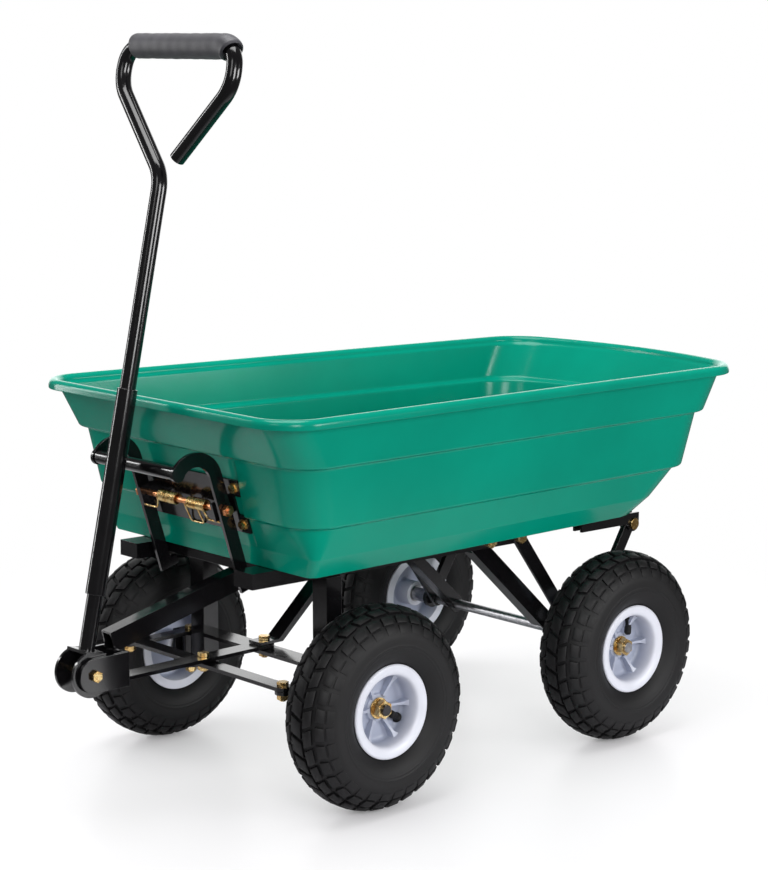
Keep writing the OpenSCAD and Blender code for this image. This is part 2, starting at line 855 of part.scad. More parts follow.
// Upper and lower bolts of the steering axis
module pivot_bolts() {
    color("#c9a227")
        axle_frame() {
            translate([0, 0, bolster_z + bar_t + 2 * touch])
                rotate([180, 0, 0])
                    bolt(pin_d, bolster_z + bar_t + 3 * touch - bush_z);
            translate([0, 0, foot_z + foot_t + touch])
                rotate([180, 0, 0])
                    bolt(pin_d, foot_z + foot_t + 2 * touch - plate_z);
        }
}

// Bolts that hold the braces and struts to the rails
module frame_bolts() {
    color("#c9a227")
        for (s = [1, -1])
            hand(s) {
                cross_bolt(frame_bolt_d, rail_in - angle_t - touch / 2, rail_out + touch / 2,
                    deck_y(brace_v, -rail_h / 2), deck_z(brace_v, -rail_h / 2));
                cross_bolt(frame_bolt_d, rail_out + bar_t + touch / 2, rail_in - touch / 2,
                    deck_y(strut_v, -rail_h / 2), deck_z(strut_v, -rail_h / 2));
            }
}

// Moulded tray: stepped walls, rolled rim, flat latch panel and a flat floor
module tray() {
    rings = tray_rings();
    m = len(rings);
    n = len(rings[0]);
    color("#2f7d4f")
        deck() {
            polyhedron(
                points = [for (r = rings) for (q = r) q],
                faces = [for (j = [0 : m - 1]) for (i = [0 : n - 1]) for (h = [0, 1])
                    let (j2 = (j + 1) % m, i2 = (i + 1) % n)
                    h == 0 ? [j * n + i, j2 * n + i2, j * n + i2] : [j * n + i, j2 * n + i, j2 * n + i2]]);
            translate([0, 0, base_gap + floor_lift])
                linear_extrude(tray_t)
                    polygon(outline(floor_in(side_in, side_lean), floor_in(front_in, front_lean),
                        floor_in(rear_in, rear_lean), floor_in(front_in, front_lean), corner_skirt,
                        corner_rear));
        }
}

// Brackets under the tray floor: a base inside the skirt and two lugs that reach back under it
module hinge_brackets() {
    top = base_gap + floor_lift - touch / 2;
    in = hinge_post_t / 2 + slip;
    w = 2 * in + 2 * lug_w;
    color("#1b1c1d")
        for (s = [1, -1])
            hand(s)
                difference() {
                    deck() {
                        translate([hinge_x - w / 2, hinge_back - hinge_arm_l, top - hinge_base])
                            cube([w, hinge_base_l, hinge_base]);
                        for (x = [hinge_x - w / 2, hinge_x + in])
                            translate([x, hinge_back, -hinge_drop]) {
                                translate([0, -hinge_arm_l, 0])
                                    cube([lug_w, hinge_arm_l, hinge_drop + base_gap - touch / 2]);
                                translate([0, -hinge_eye / 2, 0])
                                    cube([lug_w, hinge_eye, hinge_drop + base_gap - touch / 2]);
                                rotate([0, 90, 0])
                                    cylinder(h = lug_w, d = hinge_eye);
                            }
                    }
                    translate([hinge_x - w, hinge_at[0], hinge_at[1]])
                        rotate([0, 90, 0])
                            cylinder(h = 2 * w, r = hinge_pin_d / 2 + fit / 2);
                }
}

// Hinge pins with a flat head at each end
module hinge_pins() {
    x = hinge_post_t / 2 + slip + lug_w + touch;
    color("#c9a227")
        for (s = [1, -1])
            hand(s)
                translate([hinge_x, hinge_at[0], hinge_at[1]])
                    rotate([0, 90, 0]) {
                        translate([0, 0, -x])
                            cylinder(h = 2 * x, d = hinge_pin_d);
                        for (z = [-x - pin_head_t, x])
                            translate([0, 0, z])
                                cylinder(h = pin_head_t, d = pin_head_d);
                    }
}

// Back plate on the tray panel with the two ears of the latch rod
module latch_bracket() {
    color("#1b1c1d")
        panel()
            difference() {
                union() {
                    translate([1 - panel_x, -plate_t - touch, plate_lo])
                        cube([2 * panel_x - 2, plate_t, plate_hi - plate_lo]);
                    for (x = [-ear_x - ear_t, ear_x])
                        translate([x, -ear_y, rod_s - ear_h / 2])
                            cube([ear_t, ear_y - plate_t, ear_h]);
                }
                translate([-panel_x, -cane_off, rod_s])
                    rotate([0, 90, 0])
                        cylinder(h = 2 * panel_x, r = rod_d / 2 + fit);
                for (x = [-plate_bolt_x, plate_bolt_x])
                    for (z = plate_bolt_s)
                        translate([x, 1, z])
                            rotate([90, 0, 0])
                                cylinder(h = plate_t + 3, r = plate_bolt_d / 2 + hole_gap);
                for (x = [-panel_x, notch_x])
                    translate([x, -plate_t - 1, notch_s[0]])
                        cube([panel_x - notch_x, plate_t + 2, notch_s[1] - notch_s[0]]);
            }
}

// Bolts of the back plate, screwed into threaded inserts in the tray
module latch_bracket_bolts() {
    color("#c9a227")
        panel()
            for (x = [-plate_bolt_x, plate_bolt_x])
                for (z = plate_bolt_s)
                    translate([x, -touch, z])
                        rotate([90, 0, 0]) {
                            cylinder(h = plate_t + 1, d = plate_bolt_d);
                            translate([0, 0, plate_t + touch / 2])
                                cylinder(h = bolt_washer_t, d = plate_bolt_d * bolt_washer_ratio);
                            translate([0, 0, plate_t + 1])
                                cylinder(h = plate_bolt_d * head_ratio + 1, d = plate_bolt_d * hex_ratio, $fn = 6);
                        }
}

// Rod through the ears and latch arms, with a nut at each end
module latch_rod() {
    x = cane_x + cane_t / 2 + slip;
    color("#c9a227")
        panel()
            translate([0, -cane_off, rod_s])
                rotate([0, 90, 0]) {
                    translate([0, 0, -x - rod_past])
                        cylinder(h = 2 * x + 2 * rod_past, d = rod_d);
                    for (z = [-x - rod_nut_t, x])
                        translate([0, 0, z])
                            cylinder(h = rod_nut_t, d = rod_d * hex_ratio, $fn = 6);
                }
}

// Hooked latch arm: a flat bar with a toe below, a hook above and an eye for the grab tube
module latch_arm(s) {
    color("#1b1c1d")
        hand(s)
            panel()
                across(cane_x - cane_t / 2, cane_x + cane_t / 2)
                    difference() {
                        union() {
                            translate([-cane_off - cane_w / 2, -toe_s])
                                square([cane_w, hook_s + toe_s]);
                            translate([-cane_off, -toe_s])
                                square([cane_off + toe_y, toe_h]);
                            translate([-cane_off - hook_r, hook_s])
                                intersection() {
                                    difference() {
                                        circle(r = hook_r + cane_w / 2);
                                        circle(r = hook_r - cane_w / 2);
                                    }
                                    polygon([[0, 0], [2 * hook_r, 0], [2 * hook_r, 2 * hook_r],
                                        [0, 2 * hook_r], 2 * hook_r * [cos(hook_sweep), sin(hook_sweep)]]);
                                }
                            translate([grab_y, grab_s])
                                circle(d = grab_eye);
                        }
                        translate([-cane_off, rod_s])
                            circle(r = rod_d / 2 + fit);
                    }
}

// Hollow tube across the two hooks
module latch_grab_tube() {
    x = cane_x - cane_t / 2 - touch / 2;
    color("#1b1c1d")
        panel()
            translate([-x, grab_y, grab_s])
                rotate([0, 90, 0])
                    difference() {
                        cylinder(h = 2 * x, d = grab_d);
                        translate([0, 0, -1])
                            cylinder(h = 2 * x + 2, r = grab_d / 2 - grab_t);
                    }
}

// Double torsion spring round the rod, wound from one wire
module latch_spring() {
    p = spring_path();
    f = normals(p);
    n = len(p);
    k = wire_sides;
    echo("least gap of the spring wire", wire_gap(p));
    color("#b9783c")
        panel()
            polyhedron(
                points = [for (i = [0 : n - 1]) let (u = f[i], w = cross(along(p, i), u))
                    for (a = [0 : k - 1]) p[i] + wire_d / 2 * (u * cos(360 * a / k) + w * sin(360 * a / k))],
                faces = concat(
                    [for (i = [0 : n - 2]) for (a = [0 : k - 1]) for (h = [0, 1])
                        let (b = (a + 1) % k)
                        h == 0 ? [i * k + a, i * k + b, (i + 1) * k + b]
                            : [i * k + a, (i + 1) * k + b, (i + 1) * k + a]],
                    [for (a = [1 : k - 2]) [0, a + 1, a]],
                    [for (a = [1 : k - 2]) [(n - 1) * k, (n - 1) * k + a, (n - 1) * k + a + 1]]));
}

// Flat bar from the lower pivot to the clevis, with the crank's hole for the tie bar
module drawbar_lower_bar() {
    color("#1b1c1d")
        axle_frame()
            translate([0, 0, lower_z])
                linear_extrude(bar_t)
                    difference() {
                        union() {
                            translate([-tongue_w / 2, -clevis_back])
                                square([tongue_w, clevis_back]);
                            circle(d = tongue_w);
                        }
                        circle(r = pin_d / 2 + fit);
                        translate([0, -arm_l])
                            circle(r = pin_d / 2 + fit);
                    }
}

// Sloping hollow beam from the clevis up to the bush of the upper pivot
module drawbar_upper_beam() {
    l = (beam_from - 4) / cos(beam_slope);
    color("#1b1c1d")
        axle_frame()
            difference() {
                union() {
                    difference() {
                        translate([-beam_w / 2, -beam_from, tongue_z + beam_lift])
                            rotate([beam_slope, 0, 0])
                                translate([0, 0, -beam_h / 2])
                                    box_tube([beam_w, l, beam_h], beam_t, 1);
                        translate([0, 0, bush_z - bush_h])
                            cylinder(h = 3 * bush_h, r = bush_r - 1);
                    }
                    translate([0, 0, bush_z])
                        cylinder(h = bush_h, r = bush_r);
                }
                translate([0, 0, bush_z - 1])
                    cylinder(h = bush_h + 2, r = pin_d / 2 + fit);
            }
}

// Fork that carries the handle: two plates and the web between them
module drawbar_clevis() {
    low = tongue_z - clevis_r;
    seat = tongue_z + beam_lift + (beam_from - clevis_back - clevis_t) * tan(beam_slope)
        - beam_h / 2 / cos(beam_slope) - touch / 2;
    color("#1b1c1d")
        axle_frame() {
            for (x = [-clevis_in - clevis_t, clevis_in])
                across(x, x + clevis_t)
                    difference() {
                        union() {
                            translate([-tongue_l, low])
                                square([tongue_l - clevis_back, 2 * clevis_r]);
                            translate([-tongue_l, tongue_z])
                                circle(r = clevis_r);
                        }
                        translate([-tongue_l, tongue_z])
                            circle(r = pin_d / 2 + fit);
                    }
            translate([-clevis_in - 1, -clevis_back - clevis_t, low])
                cube([2 * clevis_in + 2, clevis_t, seat - low]);
        }
}

// Bolt that the handle folds on
module handle_bolt() {
    x = clevis_in + clevis_t + touch;
    color("#c9a227")
        axle_frame()
            cross_bolt(pin_d, x, -x, -tongue_l, tongue_z);
}

// Flat bar that joins the two steering arms to the drawbar
module tie_bar() {
    color("#1b1c1d")
        axle_frame()
            translate([0, -arm_l, tie_z])
                linear_extrude(bar_t)
                    difference() {
                        link([-kingpin_x, 0], [kingpin_x, 0], tie_w);
                        for (x = [-kingpin_x, 0, kingpin_x])
                            translate([x, 0])
                                circle(r = pin_d / 2 + fit);
                    }
}

// Bolts of the tie bar: the middle one through the drawbar, the others through the arms
module tie_bar_bolts() {
    grip = 2 * bar_t + slip + 2 * touch;
    color("#c9a227")
        axle_frame() {
            for (x = [-kingpin_x, kingpin_x])
                translate([x, -arm_l, tie_z + bar_t + touch])
                    rotate([180, 0, 0])
                        bolt(pin_d, grip);
            translate([0, -arm_l, lower_z + bar_t + touch])
                rotate([180, 0, 0])
                    bolt(pin_d, grip);
        }
}

// Steering knuckle: two lugs on a web, the steering arm and the stub axle
module knuckle(s) {
    low = barrel_z - slip - lug_t;
    color("#1b1c1d")
        hand(s)
            axle_frame()
                difference() {
                    union() {
                        for (z = [low, arm_z])
                            translate([kingpin_x, 0, z]) {
                                cylinder(h = lug_t, d = barrel_d - 1);
                                translate([0, -arm_w / 2, 0])
                                    cube([web_out - kingpin_x, arm_w, lug_t]);
                            }
                        translate([web_in, -web_d / 2, low])
                            cube([bar_t, web_d, arm_z + lug_t - low]);
                        translate([kingpin_x, 0, arm_z])
                            linear_extrude(lug_t)
                                link([0, 0], [0, -arm_l], arm_w);
                        translate([web_out - 1, 0, axle_z])
                            rotate([0, 90, 0]) {
                                cylinder(h = axle_end - web_out + 1, d = axle_d);
                                cylinder(h = track / 2 - hub_in - slip - web_out + 1, r = shoulder_r);
                            }
                    }
                    for (y = [0, -arm_l])
                        translate([kingpin_x, y, arm_z - 1])
                            cylinder(h = lug_t + 2, r = pin_d / 2 + fit);
                    translate([kingpin_x, 0, low - 1])
                        cylinder(h = lug_t + 2, r = pin_d / 2 + fit);
                }
}

// Yoke on the handle bolt with the lower handle tube standing on its bridge
module handle_yoke() {
    color("#1b1c1d")
        handle()
            difference() {
                union() {
                    for (x = [-cheek_x, cheek_x - cheek_t])
                        across(x, x + cheek_t) {
                            circle(r = cheek_r);
                            translate([-yoke_d / 2, 0])
                                square([yoke_d, bridge_s + cheek_t]);
                        }
                    translate([-cheek_x, -yoke_d / 2, bridge_s])
                        cube([2 * cheek_x, yoke_d, cheek_t]);
                    translate([0, 0, bridge_s + 1])
                        cylinder(h = yoke_top - bridge_s - 1, d = tube_d);
                }
                translate([0, 0, bridge_s + cheek_t])
                    cylinder(h = yoke_top, r = tube_d / 2 - tube_t);
                translate([-cheek_x - 1, 0, 0])
                    rotate([0, 90, 0])
                        cylinder(h = 2 * cheek_x + 2, r = pin_d / 2 + fit);
            }
}

// Sleeve that joins the lower tube and the D loop
module handle_sleeve() {
    color("#1b1c1d")
        handle()
            translate([0, 0, sleeve_s])
                difference() {
                    cylinder(h = sleeve_l, d = sleeve_d);
                    translate([0, 0, -1])
                        cylinder(h = sleeve_l + 2, r = tube_d / 2 + sleeve_gap);
                }
}

// Path of the D loop: up the stem, out to the left, over the top and back to its free end
function loop_path(from) = [
    [0, from, 0], [0, neck_s, neck_r], [-loop_x, wide_s, wide_r], [-grip_x, grip_s, top_r],
    [grip_x, grip_s, top_r], [loop_x, wide_s, wide_r], [end_x, end_s, 0]];

// D loop of bent tube
module handle_loop() {
    color("#1b1c1d")
        handle()
            swept_tube(stations(loop_path(loop_foot)), tube_d / 2, tube_t);
}

// Path of the foam grip: the loop's top with its two corners
function grip_path() =
    let (p = loop_path(loop_foot), a = [p[3][0], p[3][1]], b = [p[4][0], p[4][1]])
    let (u = unit([p[2][0], p[2][1]] - a), v = unit([p[5][0], p[5][1]] - b))
    let (l = trim(p, 3) + grip_past)
    [concat(a + l * u, [0]), p[3], p[4], concat(b + l * v, [0])];

// Foam grip slipped over the loop's top
module handle_grip() {
    color("#2a2b2d")
        handle()
            swept_tube(stations(grip_path()), grip_d / 2, (grip_d - tube_d) / 2 - sleeve_gap * 2);
}

// Air tyre with block tread, and the valve stem in the wheel disc
module tyre(s, y) {
    color("#1d1d1e")
        wheel(s, y) {
            rotate_extrude()
                difference() {
                    polygon(tyre_section(0));
                    polygon(tyre_section(tyre_wall));
                    for (q = tread_rings)
                        polygon(groove(q[0], q[1]));
                    for (z = [-rim_w / 2, seat_z])
                        translate([0, z])
                            square([rim_d / 2 + touch, rim_w / 2 - seat_z]);
                }
            rotate(valve_turn)
                translate([valve_r, 0, rim_t / 2])
                    cylinder(h = valve_l, d = valve_d);
        }
}

// Moulded rim: barrel with two flanges, disc, hub and ribs on the outer face
module rim(s, y) {
    color("#eceae4")
        wheel(s, y) {
            rotate_extrude()
                union() {
                    translate([bead_r - rim_t, -rim_w / 2])
                        square([rim_t, rim_w]);
                    for (z = [-rim_w / 2, rim_w / 2 - rim_t])
                        translate([bead_r - rim_t, z])
                            square([rim_d / 2 - bead_r + rim_t, rim_t]);
                    translate([hub_d / 2 - 1, -rim_t / 2])
                        square([bead_r - hub_d / 2, rim_t]);
                    translate([bearing_r, -hub_in])
                        square([hub_d / 2 - bearing_r, hub_in + hub_out]);
                }
            for (i = [0 : rim_ribs - 1])
                rotate(90 + 360 * i / rim_ribs)
                    translate([hub_d / 2 - 1, -rib_t / 2, 0])
                        cube([bead_r - hub_d / 2 - 1, rib_t, rim_t / 2 + rib_h]);
        }
}

// Ball bearings in the two ends of a wheel hub
module bearings(s, y) {
    color("#a9abac")
        wheel(s, y)
            for (z = [-hub_in, hub_out - bearing_w])
                translate([0, 0, z])
                    difference() {
                        cylinder(h = bearing_w, r = bearing_r - touch / 4);
                        translate([0, 0, -1])
                            cylinder(h = bearing_w + 2, r = axle_d / 2 + fit);
                    }
}

side_rail(1);  // side_rail_left
side_rail(-1);  // side_rail_right
latch_crossbar();
rear_crossbar();
bolster_plate();
kingpin_post(1);  // kingpin_post_left
kingpin_post(-1);  // kingpin_post_right
axle_tie_plate();
centre_brace();
rear_brace(1);  // rear_brace_left
rear_brace(-1);  // rear_brace_right
rear_strut(1);  // rear_strut_left
rear_strut(-1);  // rear_strut_right
hinge_post(1);  // hinge_post_left
hinge_post(-1);  // hinge_post_right
rear_axle_shaft();
rear_axle_nuts();
kingpins();
pivot_bolts();
frame_bolts();
tray();
hinge_brackets();
hinge_pins();
latch_bracket();
latch_bracket_bolts();
latch_rod();
latch_arm(1);  // latch_arm_left
latch_arm(-1);  // latch_arm_right
latch_grab_tube();
latch_spring();
drawbar_lower_bar();
drawbar_upper_beam();
drawbar_clevis();
handle_bolt();
tie_bar();
tie_bar_bolts();
knuckle(1);  // knuckle_left
knuckle(-1);  // knuckle_right
axle_nut(1, front_axle_y);  // front_nuts_left
axle_nut(-1, front_axle_y);  // front_nuts_right
handle_yoke();
handle_sleeve();
handle_loop();
handle_grip();
tyre(1, front_axle_y);  // tyre_front_left
tyre(-1, front_axle_y);  // tyre_front_right
tyre(1, rear_axle_y);  // tyre_rear_left
tyre(-1, rear_axle_y);  // tyre_rear_right
rim(1, front_axle_y);  // rim_front_left
rim(-1, front_axle_y);  // rim_front_right
rim(1, rear_axle_y);  // rim_rear_left
rim(-1, rear_axle_y);  // rim_rear_right
bearings(1, front_axle_y);  // bearings_front_left
bearings(-1, front_axle_y);  // bearings_front_right
bearings(1, rear_axle_y);  // bearings_rear_left
bearings(-1, rear_axle_y);  // bearings_rear_right
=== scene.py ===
import itertools
import json
import math

import bpy
import bmesh
import numpy as np
from bpy.props import FloatProperty, FloatVectorProperty, IntProperty, PointerProperty
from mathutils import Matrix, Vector

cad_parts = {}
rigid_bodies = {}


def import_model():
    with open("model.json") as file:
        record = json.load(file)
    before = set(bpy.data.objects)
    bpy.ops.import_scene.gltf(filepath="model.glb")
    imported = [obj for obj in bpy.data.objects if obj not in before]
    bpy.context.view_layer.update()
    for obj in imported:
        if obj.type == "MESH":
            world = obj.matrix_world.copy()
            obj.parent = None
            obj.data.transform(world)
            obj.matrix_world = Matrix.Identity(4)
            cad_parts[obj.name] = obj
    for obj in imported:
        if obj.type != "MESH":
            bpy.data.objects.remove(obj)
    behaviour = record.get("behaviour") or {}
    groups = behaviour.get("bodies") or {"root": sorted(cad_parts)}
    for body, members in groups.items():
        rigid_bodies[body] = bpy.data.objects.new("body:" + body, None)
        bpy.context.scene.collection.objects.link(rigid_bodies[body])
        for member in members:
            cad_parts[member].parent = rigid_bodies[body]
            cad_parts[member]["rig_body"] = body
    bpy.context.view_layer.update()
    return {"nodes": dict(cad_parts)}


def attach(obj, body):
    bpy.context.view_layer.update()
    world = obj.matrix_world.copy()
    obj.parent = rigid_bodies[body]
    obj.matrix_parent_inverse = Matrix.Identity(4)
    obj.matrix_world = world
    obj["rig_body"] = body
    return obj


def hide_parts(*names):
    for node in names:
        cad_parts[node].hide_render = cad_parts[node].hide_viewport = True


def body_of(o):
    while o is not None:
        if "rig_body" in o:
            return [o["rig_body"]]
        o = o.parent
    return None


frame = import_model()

bl_info = {
    "name": "Tipping dump cart",
    "version": (1, 0, 0),
    "blender": (4, 5, 0),
    "location": "View3D > Sidebar > Cart",
    "description": "Dresses the cart's solids: moulded tray, block tread tyres, steel frame and foam grip",
    "category": "Add Mesh",
}

MM = 0.001
TAU = 2 * math.pi


def linear(code):
    """sRGB hex code as linear red, green and blue."""
    c = np.array([int(code[i:i + 2], 16) / 255 for i in (1, 3, 5)])
    return tuple(np.where(c <= 0.04045, c / 12.92, ((c + 0.055) / 1.055) ** 2.4))


def colour(name, code):
    """Colour property that starts at an sRGB hex code."""
    return FloatVectorProperty(name=name, description=f"Colour of the {name.lower()}", subtype="COLOR",
                               size=3, min=0, max=1, default=linear(code))


def length(name, text, mm):
    """Length property in metres that starts at a size in millimetres."""
    return FloatProperty(name=name, description=text, default=mm * MM, unit="LENGTH", min=0)


# Sizes of the solids in millimetres, as the part's source has them
TYRE_D, TYRE_W, RIM_D, RIM_W, RIM_T = 260, 82, 120, 66, 3.5
AXLE_Z, TRACK, WHEELBASE = 130, 430, 442
HUB_D, HUB_IN, HUB_OUT, HUB_WALL, RIBS, RIB_T, RIB_H = 36, 30, 6, 6, 6, 4, 12
BEAD_DROP, BELLY_SHARE, TOUCH = 8, 0.45, 0.2
TRAY_L, TRAY_W, TRAY_W_REAR, TRAY_H, TRAY_T, TRAY_FRONT = 903, 516, 456, 205, 4, 183
SOLID_BEAD_R, RIM_OVER, LEDGE_UPPER, LEDGE_LOWER, SKIRT_H = 9, 14, 140, 63, 24
LEDGE_DEPTH, LEDGE_FALL, CORNER_FRONT, CORNER_SKIRT = 8, 3, 46, 12
PANEL_X, BASE_GAP, FLOOR_LIFT = 105, 0.3, 1
DECK_FALL, DECK_H, TONGUE_L, TONGUE_Z, CHEEK_R = math.radians(1.1), 302, 285, 184, 28.5
HANDLE_LEAN, TUBE_D, TUBE_T, GRIP_D = math.radians(12.4), 20, 2, 32
LOOP_FOOT, NECK_S, WIDE_S, GRIP_S, END_S = 222, 612, 724, 771, 634
LOOP_X, GRIP_X, END_X, NECK_R, WIDE_R, TOP_R = 112, 106, 27, 45, 45, 25
CANE_X, CANE_T, CANE_OFF, ROD_S, ROD_D = 82, 5, 17, 56, 8
WIRE_D, WIRE_PITCH, SPRING_CURLS, COIL_X, COIL_GAP = 2.6, 3.3, 10, 47, 1.2

# Tray's moulding: lean of each band from the rim down, rim, rear end and the hair by which it stays inside
# the solid, then corner rounds outside from the foot up and inside from the rim down
FRONT_LEAN, SIDE_LEAN, REAR_LEAN = (28, 16, 14, 4), (4, 7, 5, 10), (26, 18, 42, 32)
RIM_BEAD_R, RIM_BAND, CORNER_REAR, REAR_BOW, HAIR, PANEL_STEP = 7.5, 5, 66, 25, 0.1, 2
FOOT_ROUND, SKIRT_ROUND, CREASE_ROUND, LEDGE_ROUND, BAND_ROUND, LIP_ROUND = 0.8, 1.5, 1.6, 3, 2.5, 1.5
MOUTH_ROUND, STEP_ROUND, COVE_ROUND, FLOOR_ROUND, FLOOR_IN = 3, 4, 8, 5, 6

# Tyre's moulding: section, grooves, rings of the sidewall by place along the section, width and height, and
# rows of blocks by start and end along the section, turn and width in pitches, and skew
SECTION_POWER, SECTION_END, BEAD_PAST, BEAD_WIDE = 2.25, 0.86, 3, 7
TREAD_DEEP, TREAD_FLAT, TREAD_FADE, BLOCK_SINK = 4.8, 18, 42, 0.25
SIDE_RINGS = ((70, 1.2, 0.5), (74, 0.9, 0.35), (107, 1.6, 0.9), (112, 1.1, 0.5))
TREAD_ROWS = ((-9, 9, 0, 0.8, 3.5), (12, 24, 0.5, 0.82, -2.5), (29, 40.5, 0.25, 0.74, 1),
              (43, 54, 0.25, 0.74, 0))

# Rim's moulding and the valve stem in its disc
WELL_R, DISH_R, DISC_T, RIB_SINK, RIB_END, RIB_FOOT = 52, 43, 3.6, 2, 44.4, 1.2
VALVE_R, VALVE_Z, VALVE_LEAN = 38.5, 3.6, math.radians(68)

# Foam grip, ends of the latch spring, and edges of plated pieces
GRIP_TRIM, GRIP_PAST, FOAM_ROOM, FOAM_ROUND, FOAM_WALL, FOAM_FIT = (32, 20), 2, 0.4, 3, 3, 0.3
LEG_DROP, LOOP_DROP, LOOP_CLEAR, FINE_EDGE = 15, 36, 3.4, 0.5

# Merging distances in millimetres and angles in degrees for meshes
WELD, SLIVER, FLAT_ANGLE, BEVEL_ANGLE, SHARP = 0.002, 0.3, 0.6, 40, 35


def insets(lean):
    """Inset of each level under the tray's rim: the bands' leans and the ledges' depths, summed."""
    return np.cumsum([RIM_OVER, lean[0], LEDGE_DEPTH, lean[1], LEDGE_DEPTH, lean[2], lean[3]])


FRONT_IN = insets(FRONT_LEAN)
PANEL_V = FRONT_IN[5] - TRAY_FRONT
PANEL_LEAN = math.atan((FRONT_IN[5] - FRONT_IN[2]) / (LEDGE_UPPER - LEDGE_FALL / 2 - SKIRT_H))
REAR_REACH = (TRAY_L - TRAY_FRONT) * math.cos(DECK_FALL) + (TRAY_H - SOLID_BEAD_R) * math.sin(DECK_FALL)
FRONT_Y = (TONGUE_L + CHEEK_R - REAR_REACH) / 2
REAR_Y = FRONT_Y + WHEELBASE

# Wheels: side, place along the cart and angle of the valve in degrees
WHEELS = {"front_left": (1, FRONT_Y, 60), "front_right": (-1, FRONT_Y, 200),
          "rear_left": (1, REAR_Y, 148), "rear_right": (-1, REAR_Y, 300)}

# Painted steel pieces and zinc plated ones
STEEL = ["latch_crossbar", "rear_crossbar", "bolster_plate", "axle_tie_plate", "centre_brace",
         "hinge_brackets", "latch_bracket", "latch_grab_tube", "drawbar_lower_bar", "drawbar_upper_beam",
         "drawbar_clevis", "tie_bar", "handle_yoke", "handle_sleeve"]
PAIRED = ("side_rail", "kingpin_post", "rear_brace", "rear_strut", "hinge_post", "latch_arm", "knuckle")
STEEL += [name + side for name in PAIRED for side in ("_left", "_right")]
ZINC = ["rear_axle_nuts", "kingpins", "pivot_bolts", "frame_bolts", "hinge_pins", "latch_bracket_bolts",
        "handle_bolt", "tie_bar_bolts", "front_nuts_left", "front_nuts_right"]

# Camera of the photograph: place in metres, turn in degrees, focal length and sensor in millimetres
CAMERA_AT, CAMERA_TURN = (2.3066, -2.0787, 0.9563), (90 - 9.77, 0.086, 47.78)
LENS, SENSOR, LENS_SHIFT = 97.157, 36, (-0.00475, -0.0012)

# Lamps: name, place, aim, width and height in metres, watts. The surround adds its glow to them.
LAMPS = (("key_box", (2.6, -1.35, 1.3), (0, 0.05, 0.4), 0.9, 1.2, 38),
         ("side_box", (2.7, 1.15, 0.85), (0, 0.3, 0.4), 1.1, 0.9, 38),
         ("front_box", (1.0, -3.4, 2.3), (0, -0.1, 0.4), 1.0, 1.4, 14),
         ("top_box", (-0.2, -0.2, 3.2), (0, 0, 0.3), 2.2, 2.2, 96),
         ("left_strip", (-2.1, -1.5, 1.0), (0, -0.3, 0.6), 0.25, 2.0, 22),
         ("back_card", (-2.2, 2.0, 1.05), (0, 0, 0.5), 4.4, 2.0, 48))
GLOW = 0.12

# Floor: drop under the tyres and reach of the painted contact shade in metres, veil of white in that shade
# and in the open, and the shares of the radius between which it fades out
FLOOR_DROP, SHADE_REACH, VEIL, FLOOR_FADE = 0.0002, 0.16, (0.1, 0.68), (0.22, 0.97)


# Surfaces

def unit(v):
    """Vectors along the last axis at length one."""
    return v / np.linalg.norm(v, axis=-1, keepdims=True)


def grid_faces(nu, nv, wrap_u=False, wrap_v=False):
    """Quads of a grid of nu by nv points, closed round u or v where asked."""
    rows, columns = np.arange(nu if wrap_u else nu - 1), np.arange(nv if wrap_v else nv - 1)
    i, j = np.meshgrid(rows, columns, indexing="ij")
    i2, j2 = (i + 1) % nu, (j + 1) % nv
    return np.stack([i * nv + j, i2 * nv + j, i2 * nv + j2, i * nv + j2], -1).reshape(-1, 4)


def grid(points, wrap_u=False, wrap_v=False):
    """Surface of a grid of points, as points and quads."""
    return points.reshape(-1, 3), grid_faces(*points.shape[:2], wrap_u, wrap_v)


def patches(points):
    """Surface of several like grids of points, which the first axis counts."""
    n, nu, nv = points.shape[:3]
    faces = grid_faces(nu, nv)[None] + nu * nv * np.arange(n)[:, None, None]
    return points.reshape(-1, 3), faces.reshape(-1, 4)


def merge(parts):
    """Several surfaces as one."""
    starts = np.cumsum([0] + [len(p) for p, _ in parts])
    return np.concatenate([p for p, _ in parts]), np.concatenate([f + s for (_, f), s in zip(parts, starts)])


def make(name, surface, mat, body, nodes, sharp=SHARP, caps=()):
    """New piece from a surface in millimetres. Poles and seams are welded, faces turned outwards, edges over
    the sharp angle kept crisp; it rides on the body and stands for the nodes. Caps are flat end faces."""
    points, faces = surface
    mesh = bpy.data.meshes.new(name)
    mesh.from_pydata((points * MM).tolist(), [], faces.tolist() + [list(c) for c in caps])
    work = bmesh.new()
    work.from_mesh(mesh)
    bmesh.ops.remove_doubles(work, verts=work.verts, dist=WELD * MM)
    bmesh.ops.recalc_face_normals(work, faces=work.faces)
    work.to_mesh(mesh)
    work.free()
    finish_mesh(mesh, sharp)
    obj = bpy.data.objects.new(name, mesh)
    bpy.context.scene.collection.objects.link(obj)
    mesh.materials.append(mat)
    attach(obj, body)
    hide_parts(*nodes)
    return obj


def finish_mesh(mesh, sharp):
    """Smooth shading with crisp edges over the sharp angle."""
    mesh.polygons.foreach_set("use_smooth", np.ones(len(mesh.polygons), bool))
    mesh.set_sharp_from_angle(angle=math.radians(sharp))
    mesh.update()


def revolve(profile, n):
    """Profile of (radius, height) rows turned about z: x = r cos a, y = r sin a, z = height."""
    a = np.linspace(0, TAU, n, endpoint=False)[:, None]
    r, z = profile[:, 0], profile[:, 1]
    return np.stack([r * np.cos(a), r * np.sin(a), z + 0 * a], -1)


def turned(x, y, z, a):
    """Points turned about z by an angle: x cos a - y sin a, x sin a + y cos a, z."""
    return np.stack([x * np.cos(a) - y * np.sin(a), x * np.sin(a) + y * np.cos(a), z + 0 * a], -1)


